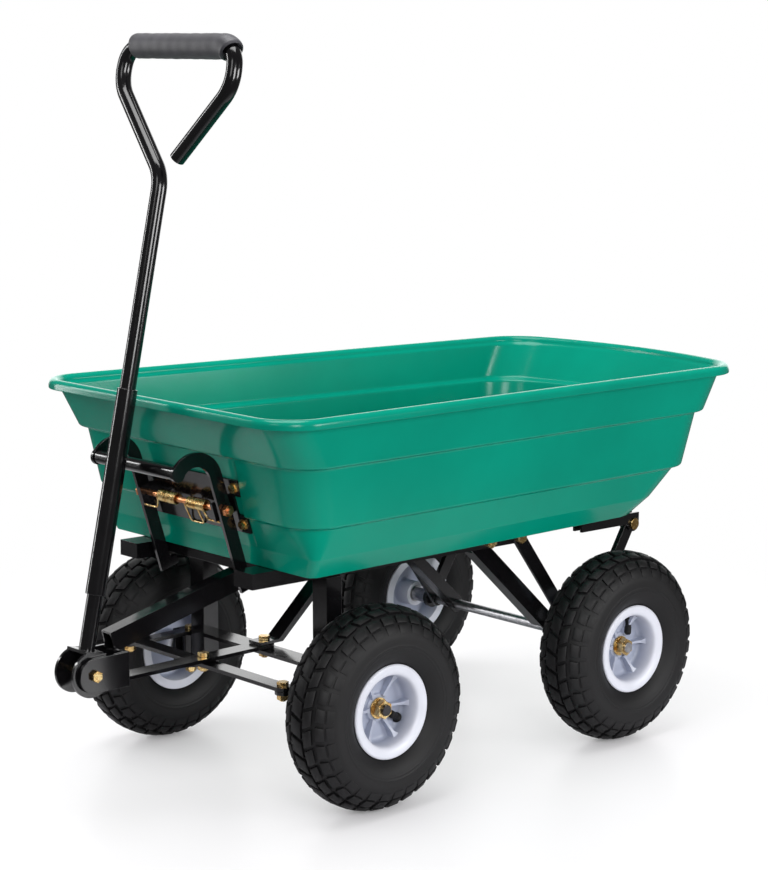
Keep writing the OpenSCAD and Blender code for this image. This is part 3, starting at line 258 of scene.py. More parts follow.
def soften(rows, cuts, n):
    """Rounds the corners of a row of points: each corner becomes a parabola of n steps that starts and ends
    its cut away along the two sides, or at most 45% of a side."""
    rows = np.asarray(rows, float)
    out = [rows[:1]]
    t = np.linspace(0, 1, n + 1)[:, None]
    for a, b, c, r in zip(rows[:-2], rows[1:-1], rows[2:], cuts[1:-1]):
        p = b + (a - b) * min(0.45, r / max(np.linalg.norm(a - b), 1e-9))
        q = b + (c - b) * min(0.45, r / max(np.linalg.norm(c - b), 1e-9))
        out.append((1 - t) ** 2 * p + 2 * t * (1 - t) * b + t ** 2 * q if r else b[None])
    return np.concatenate(out + [rows[-1:]])


def to_deck(p):
    """Points in the deck's frame, which falls to the rear, as points of the cart."""
    c, s = math.cos(DECK_FALL), math.sin(DECK_FALL)
    return np.stack([p[..., 0], FRONT_Y + p[..., 1] * c + p[..., 2] * s,
                     DECK_H - p[..., 1] * s + p[..., 2] * c], -1)


def to_handle(p):
    """Points in the parked handle's frame as points of the cart."""
    c, s = math.cos(HANDLE_LEAN), math.sin(HANDLE_LEAN)
    return np.stack([p[..., 0], FRONT_Y - TONGUE_L + p[..., 1] * c + p[..., 2] * s,
                     TONGUE_Z - p[..., 1] * s + p[..., 2] * c], -1)


def to_wheel(p, side, y):
    """Points in a wheel's frame, z towards its outer face, as points of the cart."""
    return np.stack([side * (TRACK / 2 + p[..., 2]), y + p[..., 1], AXLE_Z - side * p[..., 0]], -1)


# Materials

def rgba(tint):
    """Tint with full alpha, as a colour socket takes it."""
    return (*tint, 1)


def shade(tint, share):
    """Tint darkened or lightened by a share, up to white."""
    return [min(1, share * v) for v in tint]


def per_mm(mm):
    """Texture scale whose features are about that many millimetres across, on coordinates in metres."""
    return 1 / (mm * MM)


def plug(target, **sockets):
    """Sets a node's sockets, or links a socket or another node's first output into them. A key is a socket's
    name with its spaces as underscores, or i and the socket's number."""
    for key, value in sockets.items():
        socket = target.inputs[int(key[1:])] if key[1:].isdigit() else target.inputs[key.replace("_", " ")]
        if isinstance(value, bpy.types.Node):
            value = value.outputs[0]
        if isinstance(value, bpy.types.NodeSocket):
            target.id_data.links.new(value, socket)
        else:
            socket.default_value = value


def node(tree, kind, settings=None, ramp=(), **sockets):
    """Adds a node with its settings, the places and tints of its colour ramp, and its sockets."""
    new = tree.nodes.new("ShaderNode" + kind)
    for key, value in (settings or {}).items():
        setattr(new, key, value)
    for i, (place, tint) in enumerate(ramp):
        new.color_ramp.elements[i].position = place
        new.color_ramp.elements[i].color = rgba(tint)
    plug(new, **sockets)
    return new


def material(name):
    """Empty node material with its shader and Object coordinates in metres."""
    mat = bpy.data.materials.new(name)
    mat.use_nodes = True
    tree = mat.node_tree
    tree.nodes.clear()
    shader = node(tree, "BsdfPrincipled")
    node(tree, "OutputMaterial", Surface=shader)
    return mat, tree, shader, node(tree, "TexCoord").outputs["Object"]


def polyethylene(tint):
    """Moulded polyethylene: a waxy gloss over a faint orange peel of 3.5 mm, with slow shifts of tone."""
    mat, tree, shader, at = material("moulded_polyethylene")
    cloud = node(tree, "TexNoise", Vector=at, Scale=per_mm(160), Detail=3, Roughness=0.55)
    tone = node(tree, "ValToRGB", ramp=((0.3, shade(tint, 0.9)), (0.7, shade(tint, 1.06))), Fac=cloud)
    scuff = node(tree, "TexNoise", Vector=at, Scale=per_mm(45), Detail=6, Roughness=0.7)
    rough = node(tree, "MapRange", Value=scuff, To_Min=0.15, To_Max=0.23)
    peel = node(tree, "TexNoise", Vector=at, Scale=per_mm(3.5), Detail=2)
    bump = node(tree, "Bump", Strength=0.06, Distance=0.4 * MM, Height=peel)
    plug(shader, Base_Color=tone, Roughness=rough, Normal=bump, IOR=1.51, Specular_IOR_Level=0.22)
    return mat


def powder_coat(tint):
    """Glossy black powder coat: a hard skin with an orange peel of about 1.6 mm and faint dust."""
    mat, tree, shader, at = material("gloss_powder_coat")
    dusty = [1.5 * v + 0.002 for v in tint]
    dust = node(tree, "TexNoise", Vector=at, Scale=per_mm(60), Detail=5, Roughness=0.65)
    tone = node(tree, "ValToRGB", ramp=((0.35, tint), (0.8, dusty)), Fac=dust)
    rough = node(tree, "MapRange", Value=dust, To_Min=0.1, To_Max=0.2)
    peel = node(tree, "TexNoise", Vector=at, Scale=per_mm(1.6), Detail=1)
    bump = node(tree, "Bump", Strength=0.05, Distance=0.15 * MM, Height=peel)
    plug(shader, Base_Color=tone, Roughness=rough, Normal=bump, IOR=1.55)
    return mat


def plated_steel(name, light, dark, rough_low, rough_high):
    """Plated or ground steel: bright metal whose skin drifts between two tints over a few millimetres."""
    mat, tree, shader, at = material(name)
    drift = node(tree, "TexNoise", Vector=at, Scale=per_mm(7), Detail=4, Distortion=0.6)
    tone = node(tree, "ValToRGB", ramp=((0.36, dark), (0.64, light)), Fac=drift)
    rough = node(tree, "MapRange", Value=drift, To_Min=rough_low, To_Max=rough_high)
    plug(shader, Base_Color=tone, Roughness=rough, Metallic=1)
    return mat


def tyre_rubber(tint):
    """Moulded black rubber: matt, with a bloom of grey in patches and a fine pore of 1.2 mm."""
    mat, tree, shader, at = material("moulded_rubber")
    bloom = node(tree, "TexNoise", Vector=at, Scale=per_mm(30), Detail=6, Roughness=0.65)
    tone = node(tree, "ValToRGB", ramp=((0.35, shade(tint, 0.75)), (0.75, shade(tint, 1.5))), Fac=bloom)
    rough = node(tree, "MapRange", Value=bloom, To_Min=0.5, To_Max=0.66)
    pore = node(tree, "TexNoise", Vector=at, Scale=per_mm(1.2), Detail=3)
    bump = node(tree, "Bump", Strength=0.2, Distance=0.3 * MM, Height=pore)
    plug(shader, Base_Color=tone, Roughness=rough, Normal=bump, IOR=1.5, Specular_IOR_Level=0.36)
    return mat


def rim_plastic(tint, dish_shade_tint):
    """White moulded polypropylene: satin, with a grain of 2 mm, and a painted cool grey shade in the dish.
    The dish is what lies near the wheel's middle plane, from 31 mm off it at the flanges to 8 mm off it at
    the disc."""
    mat, tree, shader, at = material("moulded_polypropylene")
    haze = node(tree, "TexNoise", Vector=at, Scale=per_mm(40), Detail=4)
    tone = node(tree, "ValToRGB", ramp=((0.3, shade(tint, 0.93)), (0.75, tint)), Fac=haze)
    across = node(tree, "SeparateXYZ", Vector=at).outputs["X"]
    out = node(tree, "Math", {"operation": "ABSOLUTE"}, i0=across)
    away = node(tree, "Math", {"operation": "SUBTRACT"}, i0=out, i1=TRACK / 2 * MM)
    plane = node(tree, "Math", {"operation": "ABSOLUTE"}, i0=away)
    # Painted shade: the tint turns to the dish's shade tint towards the wheel's middle plane, darkening the
    # dish
    deep = node(tree, "MapRange", Value=plane, From_Min=31 * MM, From_Max=8 * MM)
    base = node(tree, "Mix", {"data_type": "RGBA"}, i0=deep, i6=tone, i7=rgba(dish_shade_tint)).outputs[2]
    rough = node(tree, "MapRange", Value=haze, To_Min=0.3, To_Max=0.42)
    grain = node(tree, "TexNoise", Vector=at, Scale=per_mm(2), Detail=2)
    bump = node(tree, "Bump", Strength=0.06, Distance=0.2 * MM, Height=grain)
    plug(shader, Base_Color=base, Roughness=rough, Normal=bump, IOR=1.49)
    return mat


def grip_foam(tint):
    """Closed cell foam: soft and dark grey, with cells of 1.5 mm, drawn coarse so that they show."""
    mat, tree, shader, at = material("closed_cell_foam")
    wear = node(tree, "TexNoise", Vector=at, Scale=per_mm(18), Detail=5)
    tone = node(tree, "ValToRGB", ramp=((0.3, shade(tint, 0.8)), (0.75, shade(tint, 1.35))), Fac=wear)
    cells = node(tree, "TexVoronoi", Vector=at, Scale=per_mm(1.5)).outputs["Distance"]
    bump = node(tree, "Bump", Strength=0.3, Distance=0.35 * MM, Height=cells)
    plug(shader, Base_Color=tone, Roughness=0.5, Normal=bump, Sheen_Weight=0.15, Sheen_Roughness=0.5)
    return mat


# Shapes

def tray_rows():
    """Levels of the tray's shell as rows of side, front, rear and panel inset, front and rear corner radius
    and height: from the floor's underside out over the skirt, up the stepped wall, over the rim bead and down
    the inside to the floor. Every corner is rounded as the moulding's are."""
    side, front, rear = insets(SIDE_LEAN), FRONT_IN, insets(REAR_LEAN)
    half, mid = LEDGE_FALL / 2, TRAY_H - RIM_BEAD_R
    outer = np.array([mid - RIM_BAND + 1, LEDGE_UPPER + half, LEDGE_UPPER - half, LEDGE_LOWER + half,
                      LEDGE_LOWER - half, SKIRT_H, BASE_GAP])
    inner = outer + np.array([0, 1, 1, 1, 1, 0, 0]) * TRAY_T
    slope = (front[5] - front[2]) / (outer[2] - outer[5])

    def wall(k, w, deep):
        """Row of level k at height w, moved in by a depth. The panel slopes straight from ledge to skirt."""
        panel = front[2] + (outer[2] - w) * slope if 1 < k < 6 else front[k]
        return [side[k] + deep, front[k] + deep, rear[k] + deep, panel + deep,
                CORNER_FRONT if k < 5 else CORNER_SKIRT, CORNER_REAR, w]

    def lip(i, w):
        """Row of the rim at inset i and height w, with corners that grow as it stands out."""
        c = RIM_OVER - i
        return [i, i, i, i, CORNER_FRONT + c, CORNER_REAR + c, w]

    floor = BASE_GAP + FLOOR_LIFT
    rows = [wall(6, floor, TRAY_T), wall(6, BASE_GAP, TRAY_T)]
    rows += [wall(k, outer[k], 0) for k in range(6, -1, -1)]
    cuts = [0, FOOT_ROUND, SKIRT_ROUND, CREASE_ROUND] + [LEDGE_ROUND] * 4 + [BAND_ROUND]
    roll = np.linspace(0, math.pi, 19)
    bead = [lip(RIM_BEAD_R * (1 - math.cos(q)), mid + RIM_BEAD_R * math.sin(q)) for q in roll]
    rows += [lip(0, mid - RIM_BAND)] + bead
    cuts += [LIP_ROUND] + [0] * len(bead)
    rows += [wall(k, inner[k], TRAY_T) for k in range(6)]
    cuts += [MOUTH_ROUND] + [STEP_ROUND] * 4 + [COVE_ROUND]
    low = np.array(wall(6, BASE_GAP, TRAY_T))
    f = (SKIRT_H - floor - TRAY_T) / (SKIRT_H - BASE_GAP)
    cove = np.array(rows[-1]) * (1 - f) + low * f
    rows += [cove, low + np.array([FLOOR_IN] * 4 + [0, 0, floor + TRAY_T - BASE_GAP])]
    return soften(rows, cuts + [FLOOR_ROUND, 0], 5)


def tray_outline(rows):
    """Outline at each level: round front corners, the flat latch panel between two soft cubic steps, straight
    sides, large rear corners and a parabola along the dumping edge."""
    side, front, rear, panel, cf, cr, w = (c[:, None] for c in rows.T)
    hf, hr = TRAY_W / 2 - side, TRAY_W_REAR / 2 - side
    yf, yr, yp = front - TRAY_FRONT, TRAY_L - TRAY_FRONT - HAIR - rear, panel - TRAY_FRONT
    bow = np.arctan(2 * REAR_BOW / (hr - cr / 2))
    xe = hr - cr + cr * np.sin(bow)
    k = np.tan(bow) / (2 * xe)
    yc = yr - k * xe * xe - cr * np.cos(bow)
    q = np.linspace(0, 1, 17)[None]
    step = np.linspace(-1, 1, 7)[None]
    ease = 0.5 + 0.75 * step - 0.25 * step ** 3
    x = np.concatenate([PANEL_STEP * step - PANEL_X, PANEL_X * np.linspace(-0.9, 0.9, 9)[None],
                        PANEL_STEP * step + PANEL_X], 1)
    s = np.concatenate([ease, np.ones((1, 9)), 1 - ease], 1)
    along = np.linspace(0, 1, 14)[None, 1:-1]
    bend = np.linspace(1, -1, 31)[None, 1:-1] * xe

    def corner(x, y, r, a, b):
        """Arc of radius r about x, y from angle a to angle b."""
        t = a + (b - a) * q
        return x + r * np.cos(t), y + r * np.sin(t)

    h = math.pi / 2
    rear_left, rear_right = corner(hr - cr, yc, cr, 0, h - bow), corner(cr - hr, yc, cr, h + bow, 2 * h)
    front_left = corner(hf - cf, yf + cf, cf, 3 * h, 4 * h)
    front_right = corner(cf - hf, yf + cf, cf, 2 * h, 3 * h)
    parts = [front_right, (x + 0 * yf, yf + (yp - yf) * s), front_left,
             (hf + (hr - hf) * along, yf + cf + (yc - yf - cf) * along), rear_left,
             (bend, yr - k * bend ** 2), rear_right,
             (-hr + (hr - hf) * along, yc + (yf + cf - yc) * along)]
    xs, ys = (np.concatenate([p[i] + 0 * yf for p in parts], 1) for i in (0, 1))
    return np.stack([xs, ys, w + 0 * xs], -1)


def tyre_profile(n=161):
    """Half of the tyre's outer section from crown to bead, inside the solid's: a power curve above the
    widest point and an ellipse below it. Gives distance along the section, radius, side and normal."""
    bead, power = RIM_D / 2 - BEAD_DROP, 2 / SECTION_POWER
    belly = bead + BELLY_SHARE * (TYRE_D / 2 - bead)
    a = np.linspace(0, math.pi * SECTION_END, n)
    c, s = np.cos(a), np.sin(a)
    upper = belly + (TYRE_D / 2 - belly) * np.abs(c) ** power
    r = np.where(c > 0, upper, belly + (belly - bead + BEAD_PAST) * c)
    z = TYRE_W / 2 * np.where(c > 0, np.abs(s) ** power, np.abs(s))
    seat = RIM_W / 2 - RIM_T - TOUCH
    z = np.where(r < RIM_D / 2 + 1, np.minimum(z, seat), z)
    r = np.maximum(r, bead + TOUCH)
    d = np.concatenate([[0], np.cumsum(np.hypot(np.diff(r), np.diff(z)))])
    keep = np.concatenate([[True], np.diff(d) > 1e-6])
    d, r, z = d[keep], r[keep], z[keep]
    nr, nz = np.gradient(z, d), -np.gradient(r, d)
    return d, r, z, nr, nz


def tread_depth(d):
    """Depth of the grooves below the blocks: full over the crown, fading out smoothly down the shoulder."""
    t = np.clip((np.abs(d) - TREAD_FLAT) / TREAD_FADE, 0, 1)
    return TREAD_DEEP * (1 - t * t * (3 - 2 * t)) ** 0.8


def tyre_carcass():
    """Tyre body turned about its axle: the section sunk by the groove depth, with thin moulded rings on the
    sidewall and a rim guard above the bead, each a bell curve, closed by an inner wall."""
    d, r, z, nr, nz = tyre_profile()
    low = sum(high * np.exp(-((d - at) / wide) ** 2) for at, wide, high in SIDE_RINGS) - tread_depth(d)
    r, z = r + nr * low, z + nz * low
    r, z = np.concatenate([r[::-1], r[1:]]), np.concatenate([-z[::-1], z[1:]])
    inner_r = [RIM_D / 2 - BEAD_DROP + 2 * TOUCH] * 2
    inner_z = [z[-1] - BEAD_WIDE, z[0] + BEAD_WIDE]
    return revolve(np.stack([np.concatenate([r, inner_r]), np.concatenate([z, inner_z])], -1), 128)


def tread_blocks(n):
    """Blocks of the tread, n to a row, each a patch of 6 by 6 points between four corners given by distance
    along the section and place round the tyre: a middle row, a staggered row each side and a pair of shoulder
    rows. The edges of a patch drop into the carcass."""
    rows = TREAD_ROWS + tuple((-b, -a, turn, wide, skew) for a, b, turn, wide, skew in TREAD_ROWS[1:])
    u = np.array([-1, -0.97, -0.78, 0.78, 0.97, 1])
    edge = np.array([0, 0.8, 1, 1, 0.8, 0])
    lift = np.minimum(edge[:, None], edge[None])
    d, r, z, nr, nz = tyre_profile()
    pitch = TAU / n
    out = []
    for a, b, turn, wide, skew in rows:
        s = ((a + b) / 2 + (b - a) / 2 * u[:, None]) + 0 * u[None]
        away = np.abs(s)
        depth = tread_depth(away) + BLOCK_SINK
        high = np.interp(away, d, r) + np.interp(away, d, nr) * depth * (lift - 1)
        side = np.sign(s) * (np.interp(away, d, z) + np.interp(away, d, nz) * depth * (lift - 1))
        t = np.arange(n)[:, None, None] * pitch + turn * pitch
        t = t + (wide / 2 * pitch * u[None, None] + skew / (TYRE_D / 2) * u[None, :, None])
        out.append(patches(np.stack([high * np.cos(t), high * np.sin(t), side + 0 * t], -1)))
    return merge(out)


def rim_profile():
    """Closed section of the moulded rim as rows of radius, side and corner round: well, rolled outer flange,
    dish, disc and hub, inner flange."""
    half, flange, disc, hub = RIM_W / 2, RIM_D / 2, DISC_T / 2, HUB_D / 2
    bore = hub - HUB_WALL
    rows = [(WELL_R, -20, 0), (WELL_R, 20, 3), (53.5, 25.5, 3), (59.6, 28.6, 2), (flange, 31.2, 2),
            (57.5, half, 2.5), (51, 32.4, 4)]
    rows += [(46.4, 30, 4), (44.6, 26, 4), (43.6, 14, 3), (DISH_R, disc, 6)]
    rows += [(hub + 0.8, disc, 5), (hub - 0.6, HUB_OUT, 1.2), (bore, HUB_OUT, 0.8), (bore, -HUB_IN, 0.8),
             (hub, -HUB_IN, 0.8), (hub, -disc, 3)]
    rows += [(47.5, -disc, 4), (48, -half, 1.2), (flange, -half, 1.2), (flange, RIM_T - half, 1),
             (53.5, -25.5, 3), (WELL_R, -20, 0)]
    rows = np.array(rows)
    return soften(rows[:, :2], rows[:, 2], 5)[:-1]


def rim_surface():
    """Rim turned about its axle, with ribs from hub to barrel. A rib's half width is swelled by a bell curve
    at each end, its top rises as a power of the way out, and its flanks fall as a power of the way to their
    edge."""
    body = grid(revolve(rim_profile(), 96), True, True)
    u = np.linspace(0, 1, 15)[:, None]
    v = np.array([-1, -0.98, -0.86, -0.5, 0, 0.5, 0.86, 0.98, 1])[None]
    start = HUB_D / 2 - RIB_SINK
    r = start + (RIB_END - start) * u
    swell = RIB_T / 2 * (1 + 1.5 * np.exp(-((1 - u) / 0.16) ** 2) + 0.9 * np.exp(-(u / 0.14) ** 2))
    top = 1.6 + RIB_H * (0.62 + 0.55 * u ** 2.2)
    fall = np.clip((1 - np.abs(v)) / 0.14, 0, 1) ** 0.45
    x, y, z = r + 0 * v, swell * (0.75 + 0.25 * np.abs(v)) * v, RIB_FOOT + (top - RIB_FOOT) * fall
    a = (np.arange(RIBS) * TAU / RIBS + TAU / 4)[:, None, None]
    return merge([body, patches(turned(x, y, z, a))])


def valve_surface(angle):
    """Rubber valve stem: a collar in the disc, a stem leaning to the hub and a cap, turned about its own line
    from rows of radius, height and corner round."""
    rows = np.array([(0, -1, 0), (6.5, -1, 0.5), (6.5, 1.5, 1), (4.3, 3.2, 1), (4.1, 11, 0.3),
                     (4.7, 11.4, 0.3), (4.8, 20.5, 1), (3.8, 22, 0.8), (0, 22, 0)])
    p = revolve(soften(rows[:, :2], rows[:, 2], 3), 24)
    c, s = math.cos(VALVE_LEAN), math.sin(VALVE_LEAN)
    x, z = VALVE_R + p[..., 0] * c - p[..., 2] * s, VALVE_Z + p[..., 0] * s + p[..., 2] * c
    return grid(turned(x, p[..., 1], z, angle), True, False)


def bend_path(points, step=math.radians(3)):
    """Flat path through (across, along, radius) points with a circular arc at each inner point: stations and
    unit directions."""
    p = np.array(points, float)
    flat = p[:, :2]
    u = unit(np.diff(flat, axis=0))
    out, heading = [flat[:1]], [u[:1]]
    for i in range(1, len(p) - 1):
        t = math.atan2(u[i - 1, 0] * u[i, 1] - u[i - 1, 1] * u[i, 0], u[i - 1] @ u[i])
        left = np.array([-u[i - 1, 1], u[i - 1, 0]]) * math.copysign(1, t)
        centre = flat[i] - u[i - 1] * p[i, 2] * math.tan(abs(t) / 2) + left * p[i, 2]
        f = np.linspace(0, t, max(2, int(abs(t) / step) + 1))[:, None]
        d = u[i - 1] * np.cos(f) + np.array([-u[i - 1, 1], u[i - 1, 0]]) * np.sin(f)
        side = np.stack([-d[:, 1], d[:, 0]], -1) * math.copysign(1, t)
        out.append(centre - side * p[i, 2])
        heading.append(d)
    return np.concatenate(out + [flat[-1:]]), np.concatenate(heading + [u[-1:]])


def stretch(path, heading, gap=6):
    """Fills the straights of a path with stations no more than a gap apart."""
    d = np.concatenate([[0], np.cumsum(np.linalg.norm(np.diff(path, axis=0), axis=1))])
    fill = np.union1d(np.round(d, 6), np.linspace(0, d[-1], int(d[-1] / gap)))
    at = [np.interp(fill, d, path[:, i]) for i in (0, 1)]
    turn = [np.interp(fill, d, heading[:, i]) for i in (0, 1)]
    return np.stack(at, -1), unit(np.stack(turn, -1)), fill


def flat_sweep(path, heading, radius, sides):
    """Round section carried along a flat path in the plane of x and z: centre + radius times the turned frame
    of the path's normal and y. The radius is given at each station."""
    a = np.linspace(0, TAU, sides, endpoint=False)
    r = radius[:, None]
    across = np.stack([-heading[:, 1], heading[:, 0]], -1)
    x = path[:, :1] + across[:, :1] * r * np.cos(a)
    z = path[:, 1:] + across[:, 1:] * r * np.cos(a)
    return np.stack([x, r * np.sin(a) + 0 * x, z], -1)


def grip_stations():
    """Path of the D loop in the handle's plane as (across, along, bend radius) points, and the stretch of it
    under the grip, which ends just past the bends at both corners."""
    loop = [(0, LOOP_FOOT, 0), (0, NECK_S, NECK_R), (-LOOP_X, WIDE_S, WIDE_R), (-GRIP_X, GRIP_S, TOP_R),
            (GRIP_X, GRIP_S, TOP_R), (LOOP_X, WIDE_S, WIDE_R), (END_X, END_S, 0)]
    a, b = np.array(loop[3][:2], float), np.array(loop[4][:2], float)
    u, v = unit(np.array(loop[2][:2]) - a), unit(np.array(loop[5][:2]) - b)
    turn = math.pi - math.acos(float(u @ np.array([1, 0])))
    reach = TOP_R * math.tan(turn / 2) + GRIP_PAST
    return loop, [(*(a + reach * u), 0), loop[3], loop[4], (*(b + reach * v), 0)]


def hollow_tube(points, outer, inner, sides=36):
    """Bent tube with open rounded ends: the outer skin along the path and the inner skin back again."""
    path, heading, _ = stretch(*bend_path(points))
    ends = np.concatenate([[0, 0], np.arange(len(path)), [-1, -1]])
    skin = np.full(len(ends), float(outer))
    skin[[0, -1]], skin[[1, -2]] = outer - 0.9, outer - 0.3
    back = np.arange(len(path))[::-1]
    at = np.concatenate([ends, back]) % len(path)
    return flat_sweep(path[at], heading[at], np.concatenate([skin, np.full(len(back), float(inner))]), sides)


def foam_tube(points, outer, inner, trim, sides=48):
    """Foam sleeve: a slow swell along it, the sum of two waves, ends rounded as a quarter circle, mouths that
    stand clear of the tube and a bore that hugs it. It stops short of the path's ends by two trim lengths."""
    path, heading, d = stretch(*bend_path(points), 2.5)
    keep = (d >= trim[0]) & (d <= d[-1] - trim[1])
    path, heading, d = path[keep], heading[keep], d[keep] - d[keep][0]
    room = np.minimum(d, d[-1] - d)
    end = np.sqrt(np.clip(1 - (1 - np.clip(room / FOAM_ROUND, 0, 1)) ** 2, 0, 1))
    wave = 0.16 * np.sin(d / 7.3) * np.sin(d / 19) + 0.12 * np.sin(d / 3.1 + 1)
    r = (outer - FOAM_ROOM + wave) - 2 * (1 - end)
    n, deep = len(path), 5
    back = np.arange(n - 1 - deep, deep - 1, -1)
    at = np.concatenate([[0], np.arange(n), [n - 1, n - 1 - deep], back, [deep]])
    mouth = outer - FOAM_WALL
    throat = mouth - FOAM_FIT
    radius = np.concatenate([[mouth], r, [mouth, throat], np.full(len(back), inner + FOAM_FIT), [throat]])
    return flat_sweep(path[at], heading[at], radius, sides)


def wire_path():
    """Line of the latch spring in the panel's frame: leg at the arm, coil wound inwards as a helix, and the
    loop that rests on the back plate, then the same mirrored."""
    coil = ROD_D / 2 + WIRE_D / 2 + COIL_GAP
    turns = SPRING_CURLS + 0.5
    t = np.linspace(0, turns, int(turns * 40))
    curl = np.stack([COIL_X - WIRE_PITCH * t, -CANE_OFF - coil * np.cos(TAU * t),
                     ROD_S + coil * np.sin(TAU * t)], -1)
    leg = np.array([COIL_X + 5, -CANE_OFF - coil, ROD_S - LEG_DROP])
    tip = np.array([CANE_X - CANE_T / 2 - TOUCH, leg[1], leg[2]])
    end = curl[-1]
    low = np.array([end[0] + 1, -LOOP_CLEAR - WIRE_D / 2, ROD_S - LOOP_DROP])
    legs = soften([tip, leg, curl[0] - [0, 0, 5], curl[0]], [0, 5, 3, 0], 8)
    loop = soften([end, end + [-0.3, 0.4, -5], low, [0, low[1], low[2]]], [0, 3, 5, 0], 8)
    half = np.concatenate([legs[:-1], curl, loop[1:]])
    return np.concatenate([half, (half * [-1, 1, 1])[-2::-1]])


def wire_surface(path, radius, sides=12):
    """Wire carried along a line in space: the frame's normal is the last one with its part along the new
    direction taken away, so it doesn't twist."""
    t = unit(np.gradient(path, axis=0))
    up = np.array([0, 0, 1.0])
    n = np.array(list(itertools.accumulate(t[1:], lambda m, d: unit(m - d * (m @ d)), initial=up)))
    a = np.linspace(0, TAU, sides, endpoint=False)[None, :, None]
    ring = path[:, None] + radius * (n[:, None] * np.cos(a) + np.cross(t, n)[:, None] * np.sin(a))
    ends = [np.broadcast_to(path[i], ring[0].shape)[None] for i in (0, -1)]
    return np.concatenate([ends[0], ring, ends[1]])


def to_panel(p):
    """Points in the latch panel's frame, z up the panel and -y out of it, as points of the cart."""
    c, s = math.cos(PANEL_LEAN), math.sin(PANEL_LEAN)
    return to_deck(np.stack([p[..., 0], PANEL_V + p[..., 1] * c - p[..., 2] * s,
                             SKIRT_H + p[..., 1] * s + p[..., 2] * c], -1))


def solid_copy(name, mat, edge):
    """Copy of a solid with its slivers welded, its flat faces made whole and its edges rounded by a bevel, in
    its own finish."""
    source = frame["nodes"][name]
    mesh = source.data.copy()
    work = bmesh.new()
    work.from_mesh(mesh)
    bmesh.ops.remove_doubles(work, verts=work.verts, dist=SLIVER * MM)
    bmesh.ops.dissolve_limit(work, angle_limit=math.radians(FLAT_ANGLE), verts=work.verts, edges=work.edges)
    work.to_mesh(mesh)
    work.free()
    if mesh.has_custom_normals:
        mesh.attributes.remove(mesh.attributes["custom_normal"])
    finish_mesh(mesh, SHARP)
    obj = bpy.data.objects.new(name + "_finished", mesh)
    bpy.context.scene.collection.objects.link(obj)
    mesh.materials.clear()
    mesh.materials.append(mat)
    bevel = obj.modifiers.new("edge", "BEVEL")
    bevel.width, bevel.segments, bevel.limit_method = edge, 2, "ANGLE"
    bevel.angle_limit = math.radians(BEVEL_ANGLE)
    bevel.use_clamp_overlap = True
    bevel.harden_normals = True
    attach(obj, body_of(source)[0])
    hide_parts(name)


# Properties, operators and panel

class CartColours(bpy.types.PropertyGroup):
    """Colours of the cart's finishes."""
    tray: colour("Tray polyethylene", "#008f77")
    coat: colour("Powder coat", "#0b0a0c")
    rubber: colour("Tyre rubber", "#0a090b")
    rim: colour("Rim plastic", "#e0e2ec")
    # Painted shade laid over the white plastic in the rim's dish
    rim_dish_shade: colour("Rim painted shade in the dish", "#a4aabc")
    foam: colour("Grip foam", "#38373d")
    zinc_light: colour("Zinc plate, light", "#e2ca92")
    zinc_dark: colour("Zinc plate, dark", "#b98f50")
    copper_light: colour("Rod copper, light", "#e3a478")
    copper_dark: colour("Rod copper, dark", "#b9733f")
    steel: colour("Bright steel", "#b8b8bc")
    floor: colour("Floor", "#f3f1f5")


class CartSizes(bpy.types.PropertyGroup):
    """Sizes that the finish adds to the solids."""
    edge: length("Steel edge round", "Bevel of the painted steel's edges", 0.8)
    blocks: IntProperty(name="Tread blocks", description="Blocks in each row round a tyre", default=32,
                        min=20, max=48)
    floor: length("Floor radius", "Radius at which the floor has faded out", 1300)


# Materials made so far, by finish
FINISHED = {}


def sizes():
    """Sizes set in the panel."""
    return bpy.context.scene.cart_sizes


def finish(name):
    """Material of a finish, made once."""
    c = bpy.context.scene.cart_colours
    makers = {
        "green_polyethylene": lambda: polyethylene(c.tray),
        "black_powder_coat": lambda: powder_coat(c.coat),
        "yellow_zinc": lambda: plated_steel("yellow_zinc_plate", c.zinc_light, c.zinc_dark, 0.2, 0.34),
        "copper_wash": lambda: plated_steel("copper_washed_steel", c.copper_light, c.copper_dark, 0.22, 0.36),
        "bright_steel": lambda: plated_steel("ground_steel", c.steel, shade(c.steel, 0.7), 0.25, 0.4),
        "tyre_rubber": lambda: tyre_rubber(c.rubber),
        "white_rim": lambda: rim_plastic(c.rim, c.rim_dish_shade),
        "foam_grip": lambda: grip_foam(c.foam),
    }
    if name not in FINISHED:
        FINISHED[name] = makers[name]()
    return FINISHED[name]


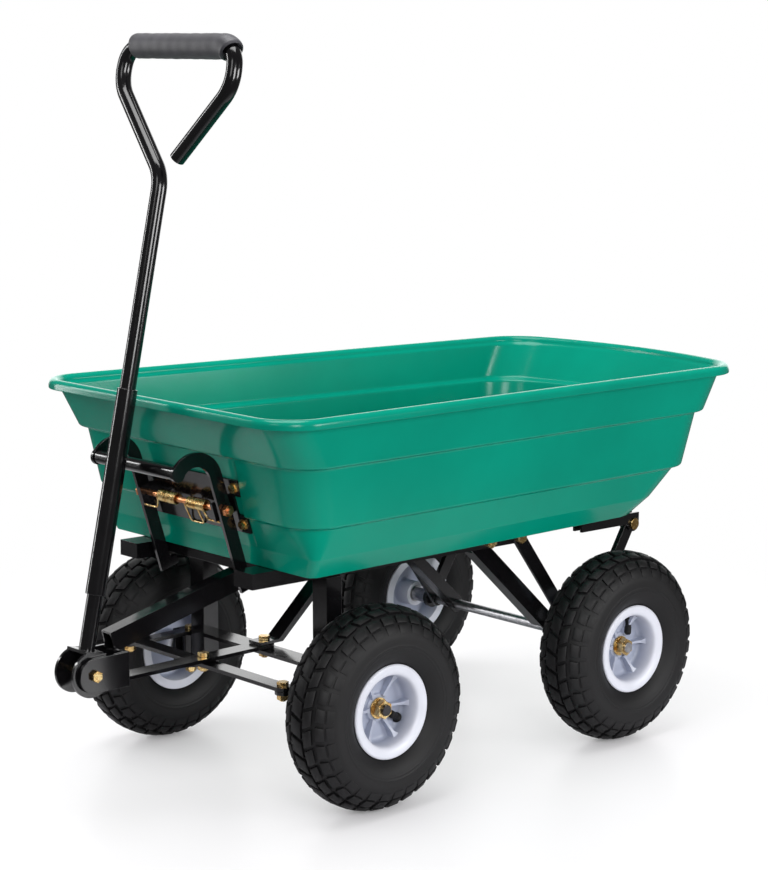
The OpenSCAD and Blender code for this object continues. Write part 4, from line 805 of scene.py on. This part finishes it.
class CART_OT_stage(bpy.types.Operator):
    """Camera at the photograph's angle, pale floor, soft boxes and a white surround"""
    bl_idname = "cart.stage"
    bl_label = "Stage"

    def execute(self, context):
        scene = context.scene
        scene.view_settings.view_transform = "Standard"
        lens = bpy.data.cameras.new("photo_camera")
        lens.lens, lens.sensor_width, lens.sensor_fit = LENS, SENSOR, "AUTO"
        lens.shift_x, lens.shift_y = LENS_SHIFT
        lens.clip_start, lens.clip_end = 0.05, 100
        camera = bpy.data.objects.new("photo_camera", lens)
        camera.location = CAMERA_AT
        camera.rotation_euler = [math.radians(v) for v in CAMERA_TURN]
        scene.collection.objects.link(camera)
        scene.camera = camera
        for name, at, aim, wide, high, watts in LAMPS:
            lamp = bpy.data.lights.new(name, "AREA")
            lamp.shape, lamp.size, lamp.size_y, lamp.energy = "RECTANGLE", wide, high, watts
            obj = bpy.data.objects.new(name, lamp)
            obj.location = at
            obj.rotation_euler = (Vector(aim) - Vector(at)).to_track_quat("-Z", "Y").to_euler()
            obj.visible_camera = False
            scene.collection.objects.link(obj)
        self.surround(scene)
        self.floor(context)
        return {"FINISHED"}

    def surround(self, scene):
        """White to the eye and through glass; a low even glow to everything else."""
        world = bpy.data.worlds.new("white_surround")
        world.use_nodes = True
        tree = world.node_tree
        tree.nodes.clear()
        path = node(tree, "LightPath")
        seen = node(tree, "Math", {"operation": "MAXIMUM"}, i0=path.outputs["Is Camera Ray"],
                    i1=path.outputs["Is Transmission Ray"])
        level = node(tree, "MapRange", Value=seen, To_Min=GLOW, To_Max=1.0)
        glow = node(tree, "Background", Color=(1, 1, 1, 1), Strength=level)
        node(tree, "OutputWorld", Surface=glow)
        scene.world = world

    def floor(self, context):
        """Pale floor that fades into the surround, so it keeps the shadows and shows no edge: a disc of
        rings, veiled with white to the eye where nothing stands near. Near the cart, ambient occlusion thins
        the veil, which paints a contact shade on top of the lamps' real shadows."""
        reach = sizes().floor
        r, a = np.linspace(0, 1, 24)[:, None], np.linspace(0, TAU, 96, endpoint=False)[None]
        p = np.stack([reach * r * np.cos(a), reach * r * np.sin(a), -FLOOR_DROP + 0 * r * a], -1)
        points, faces = grid(p, False, True)
        mesh = bpy.data.meshes.new("floor")
        mesh.from_pydata(points.tolist(), [], faces.tolist())
        work = bmesh.new()
        work.from_mesh(mesh)
        bmesh.ops.remove_doubles(work, verts=work.verts, dist=1e-5)
        bmesh.ops.recalc_face_normals(work, faces=work.faces)
        if sum(f.normal.z for f in work.faces) < 0:
            bmesh.ops.reverse_faces(work, faces=work.faces)
        work.to_mesh(mesh)
        work.free()
        mat, tree, shader, at = material("studio_floor")
        tint = rgba(context.scene.cart_colours.floor)
        plug(shader, Base_Color=tint, Roughness=0.3, Specular_IOR_Level=0.4)
        eye = node(tree, "LightPath").outputs["Is Camera Ray"]
        # Painted contact shade: ambient occlusion near the cart lowers the white glow that the eye sees on
        # the floor
        near = node(tree, "AmbientOcclusion", {"samples": 8}, Distance=SHADE_REACH).outputs["AO"]
        open_sky = node(tree, "MapRange", Value=near, To_Min=VEIL[0], To_Max=VEIL[1])
        veil = node(tree, "Math", {"operation": "MULTIPLY"}, i0=eye, i1=open_sky)
        white = node(tree, "Emission", Color=(1, 1, 1, 1), Strength=1)
        seen = node(tree, "MixShader", i0=veil, i1=shader, i2=white)
        far = node(tree, "VectorMath", {"operation": "LENGTH"}, i0=at).outputs["Value"]
        fade = node(tree, "MapRange", {"interpolation_type": "SMOOTHSTEP"}, Value=far,
                    From_Min=FLOOR_FADE[0] * reach, From_Max=FLOOR_FADE[1] * reach)
        clear = node(tree, "BsdfTransparent")
        mix = node(tree, "MixShader", i0=fade, i1=seen, i2=clear)
        plug(tree.nodes["Material Output"], Surface=mix)
        obj = bpy.data.objects.new("floor", mesh)
        mesh.materials.append(mat)
        context.scene.collection.objects.link(obj)


class CART_OT_tray(bpy.types.Operator):
    """Moulded tray: stepped walls with rounded ledges, rolled rim, latch panel and floor"""
    bl_idname = "cart.tray"
    bl_label = "Tray"

    def execute(self, context):
        p = to_deck(tray_outline(tray_rows()))
        m, n = p.shape[:2]
        make("tray_shell", grid(p, False, True), finish("green_polyethylene"), "tray", ["tray"],
             50, [range(n), range((m - 1) * n, m * n)])
        return {"FINISHED"}


class CART_OT_tyres(bpy.types.Operator):
    """Four air tyres: carcass, block tread and valve stem"""
    bl_idname = "cart.tyres"
    bl_label = "Tyres"

    def execute(self, context):
        carcass = grid(tyre_carcass(), True, True)
        blocks = tread_blocks(sizes().blocks)
        for name, (side, y, angle) in WHEELS.items():
            valve = valve_surface(math.radians(angle))
            points, faces = merge([carcass, blocks, valve])
            make("tyre_" + name + "_tread", (to_wheel(points, side, y), faces), finish("tyre_rubber"),
                 "wheel_" + name, ["tyre_" + name], 38)
        return {"FINISHED"}


class CART_OT_rims(bpy.types.Operator):
    """Four moulded rims: rolled flanges, dished barrel, ribbed disc and hub"""
    bl_idname = "cart.rims"
    bl_label = "Rims"

    def execute(self, context):
        points, faces = rim_surface()
        for name, (side, y, _) in WHEELS.items():
            make("rim_" + name + "_moulded", (to_wheel(points, side, y), faces), finish("white_rim"),
                 "wheel_" + name, ["rim_" + name], 40)
        return {"FINISHED"}


class CART_OT_frame(bpy.types.Operator):
    """Painted steel pieces, axle and bearings: the solids with their edges rounded"""
    bl_idname = "cart.frame"
    bl_label = "Steel frame"

    def execute(self, context):
        for name in STEEL:
            solid_copy(name, finish("black_powder_coat"), sizes().edge)
        for name in frame["nodes"]:
            if name == "rear_axle_shaft" or name.startswith("bearings"):
                solid_copy(name, finish("bright_steel"), FINE_EDGE * MM)
        return {"FINISHED"}


class CART_OT_fasteners(bpy.types.Operator):
    """Zinc plated bolts, nuts and pins, and the copper washed latch rod"""
    bl_idname = "cart.fasteners"
    bl_label = "Fasteners"

    def execute(self, context):
        for name in ZINC:
            solid_copy(name, finish("yellow_zinc"), FINE_EDGE * MM)
        solid_copy("latch_rod", finish("copper_wash"), FINE_EDGE * MM)
        return {"FINISHED"}


class CART_OT_handle(bpy.types.Operator):
    """Bent D loop and its foam grip"""
    bl_idname = "cart.handle"
    bl_label = "Handle"

    def execute(self, context):
        loop, under = grip_stations()
        tube = hollow_tube(loop, TUBE_D / 2, TUBE_D / 2 - TUBE_T)
        make("handle_loop_tube", grid(to_handle(tube), True, True), finish("black_powder_coat"), "handle",
             ["handle_loop"])
        foam = foam_tube(under, GRIP_D / 2, TUBE_D / 2, GRIP_TRIM)
        grip = make("handle_grip_foam", grid(to_handle(foam), True, True), finish("foam_grip"), "handle",
                    ["handle_grip"], 60)
        return {"FINISHED"}


class CART_OT_spring(bpy.types.Operator):
    """Torsion spring of the latch, wound from one wire"""
    bl_idname = "cart.spring"
    bl_label = "Latch spring"

    def execute(self, context):
        wire = wire_surface(wire_path(), WIRE_D / 2)
        make("latch_spring_wire", grid(to_panel(wire), False, True), finish("yellow_zinc"), "latch_handle",
             ["latch_spring"], 60)
        return {"FINISHED"}


STEPS = (CART_OT_stage, CART_OT_tray, CART_OT_tyres, CART_OT_rims, CART_OT_frame, CART_OT_fasteners,
         CART_OT_handle, CART_OT_spring)


class CART_PT_panel(bpy.types.Panel):
    """Lists the steps that dress the cart, and its colours and sizes"""
    bl_idname = "CART_PT_panel"
    bl_label = "Tipping dump cart"
    bl_space_type = "VIEW_3D"
    bl_region_type = "UI"
    bl_category = "Cart"

    def draw(self, context):
        for step in STEPS:
            self.layout.operator(step.bl_idname)
        for group in (context.scene.cart_colours, context.scene.cart_sizes):
            for key in group.__annotations__:
                self.layout.prop(group, key)


CLASSES = (CartColours, CartSizes, *STEPS, CART_PT_panel)


def register():
    """Adds the classes and hangs the two groups of properties on the scene."""
    for c in CLASSES:
        bpy.utils.register_class(c)
    bpy.types.Scene.cart_colours = PointerProperty(type=CartColours)
    bpy.types.Scene.cart_sizes = PointerProperty(type=CartSizes)


def unregister():
    """Takes the properties and the classes away again."""
    del bpy.types.Scene.cart_sizes, bpy.types.Scene.cart_colours
    for c in reversed(CLASSES):
        bpy.utils.unregister_class(c)


def main():
    """Runs the steps in order."""
    register()
    for step in STEPS:
        group, name = step.bl_idname.split(".")
        getattr(getattr(bpy.ops, group), name)()


if __name__ == "__main__":
    main()
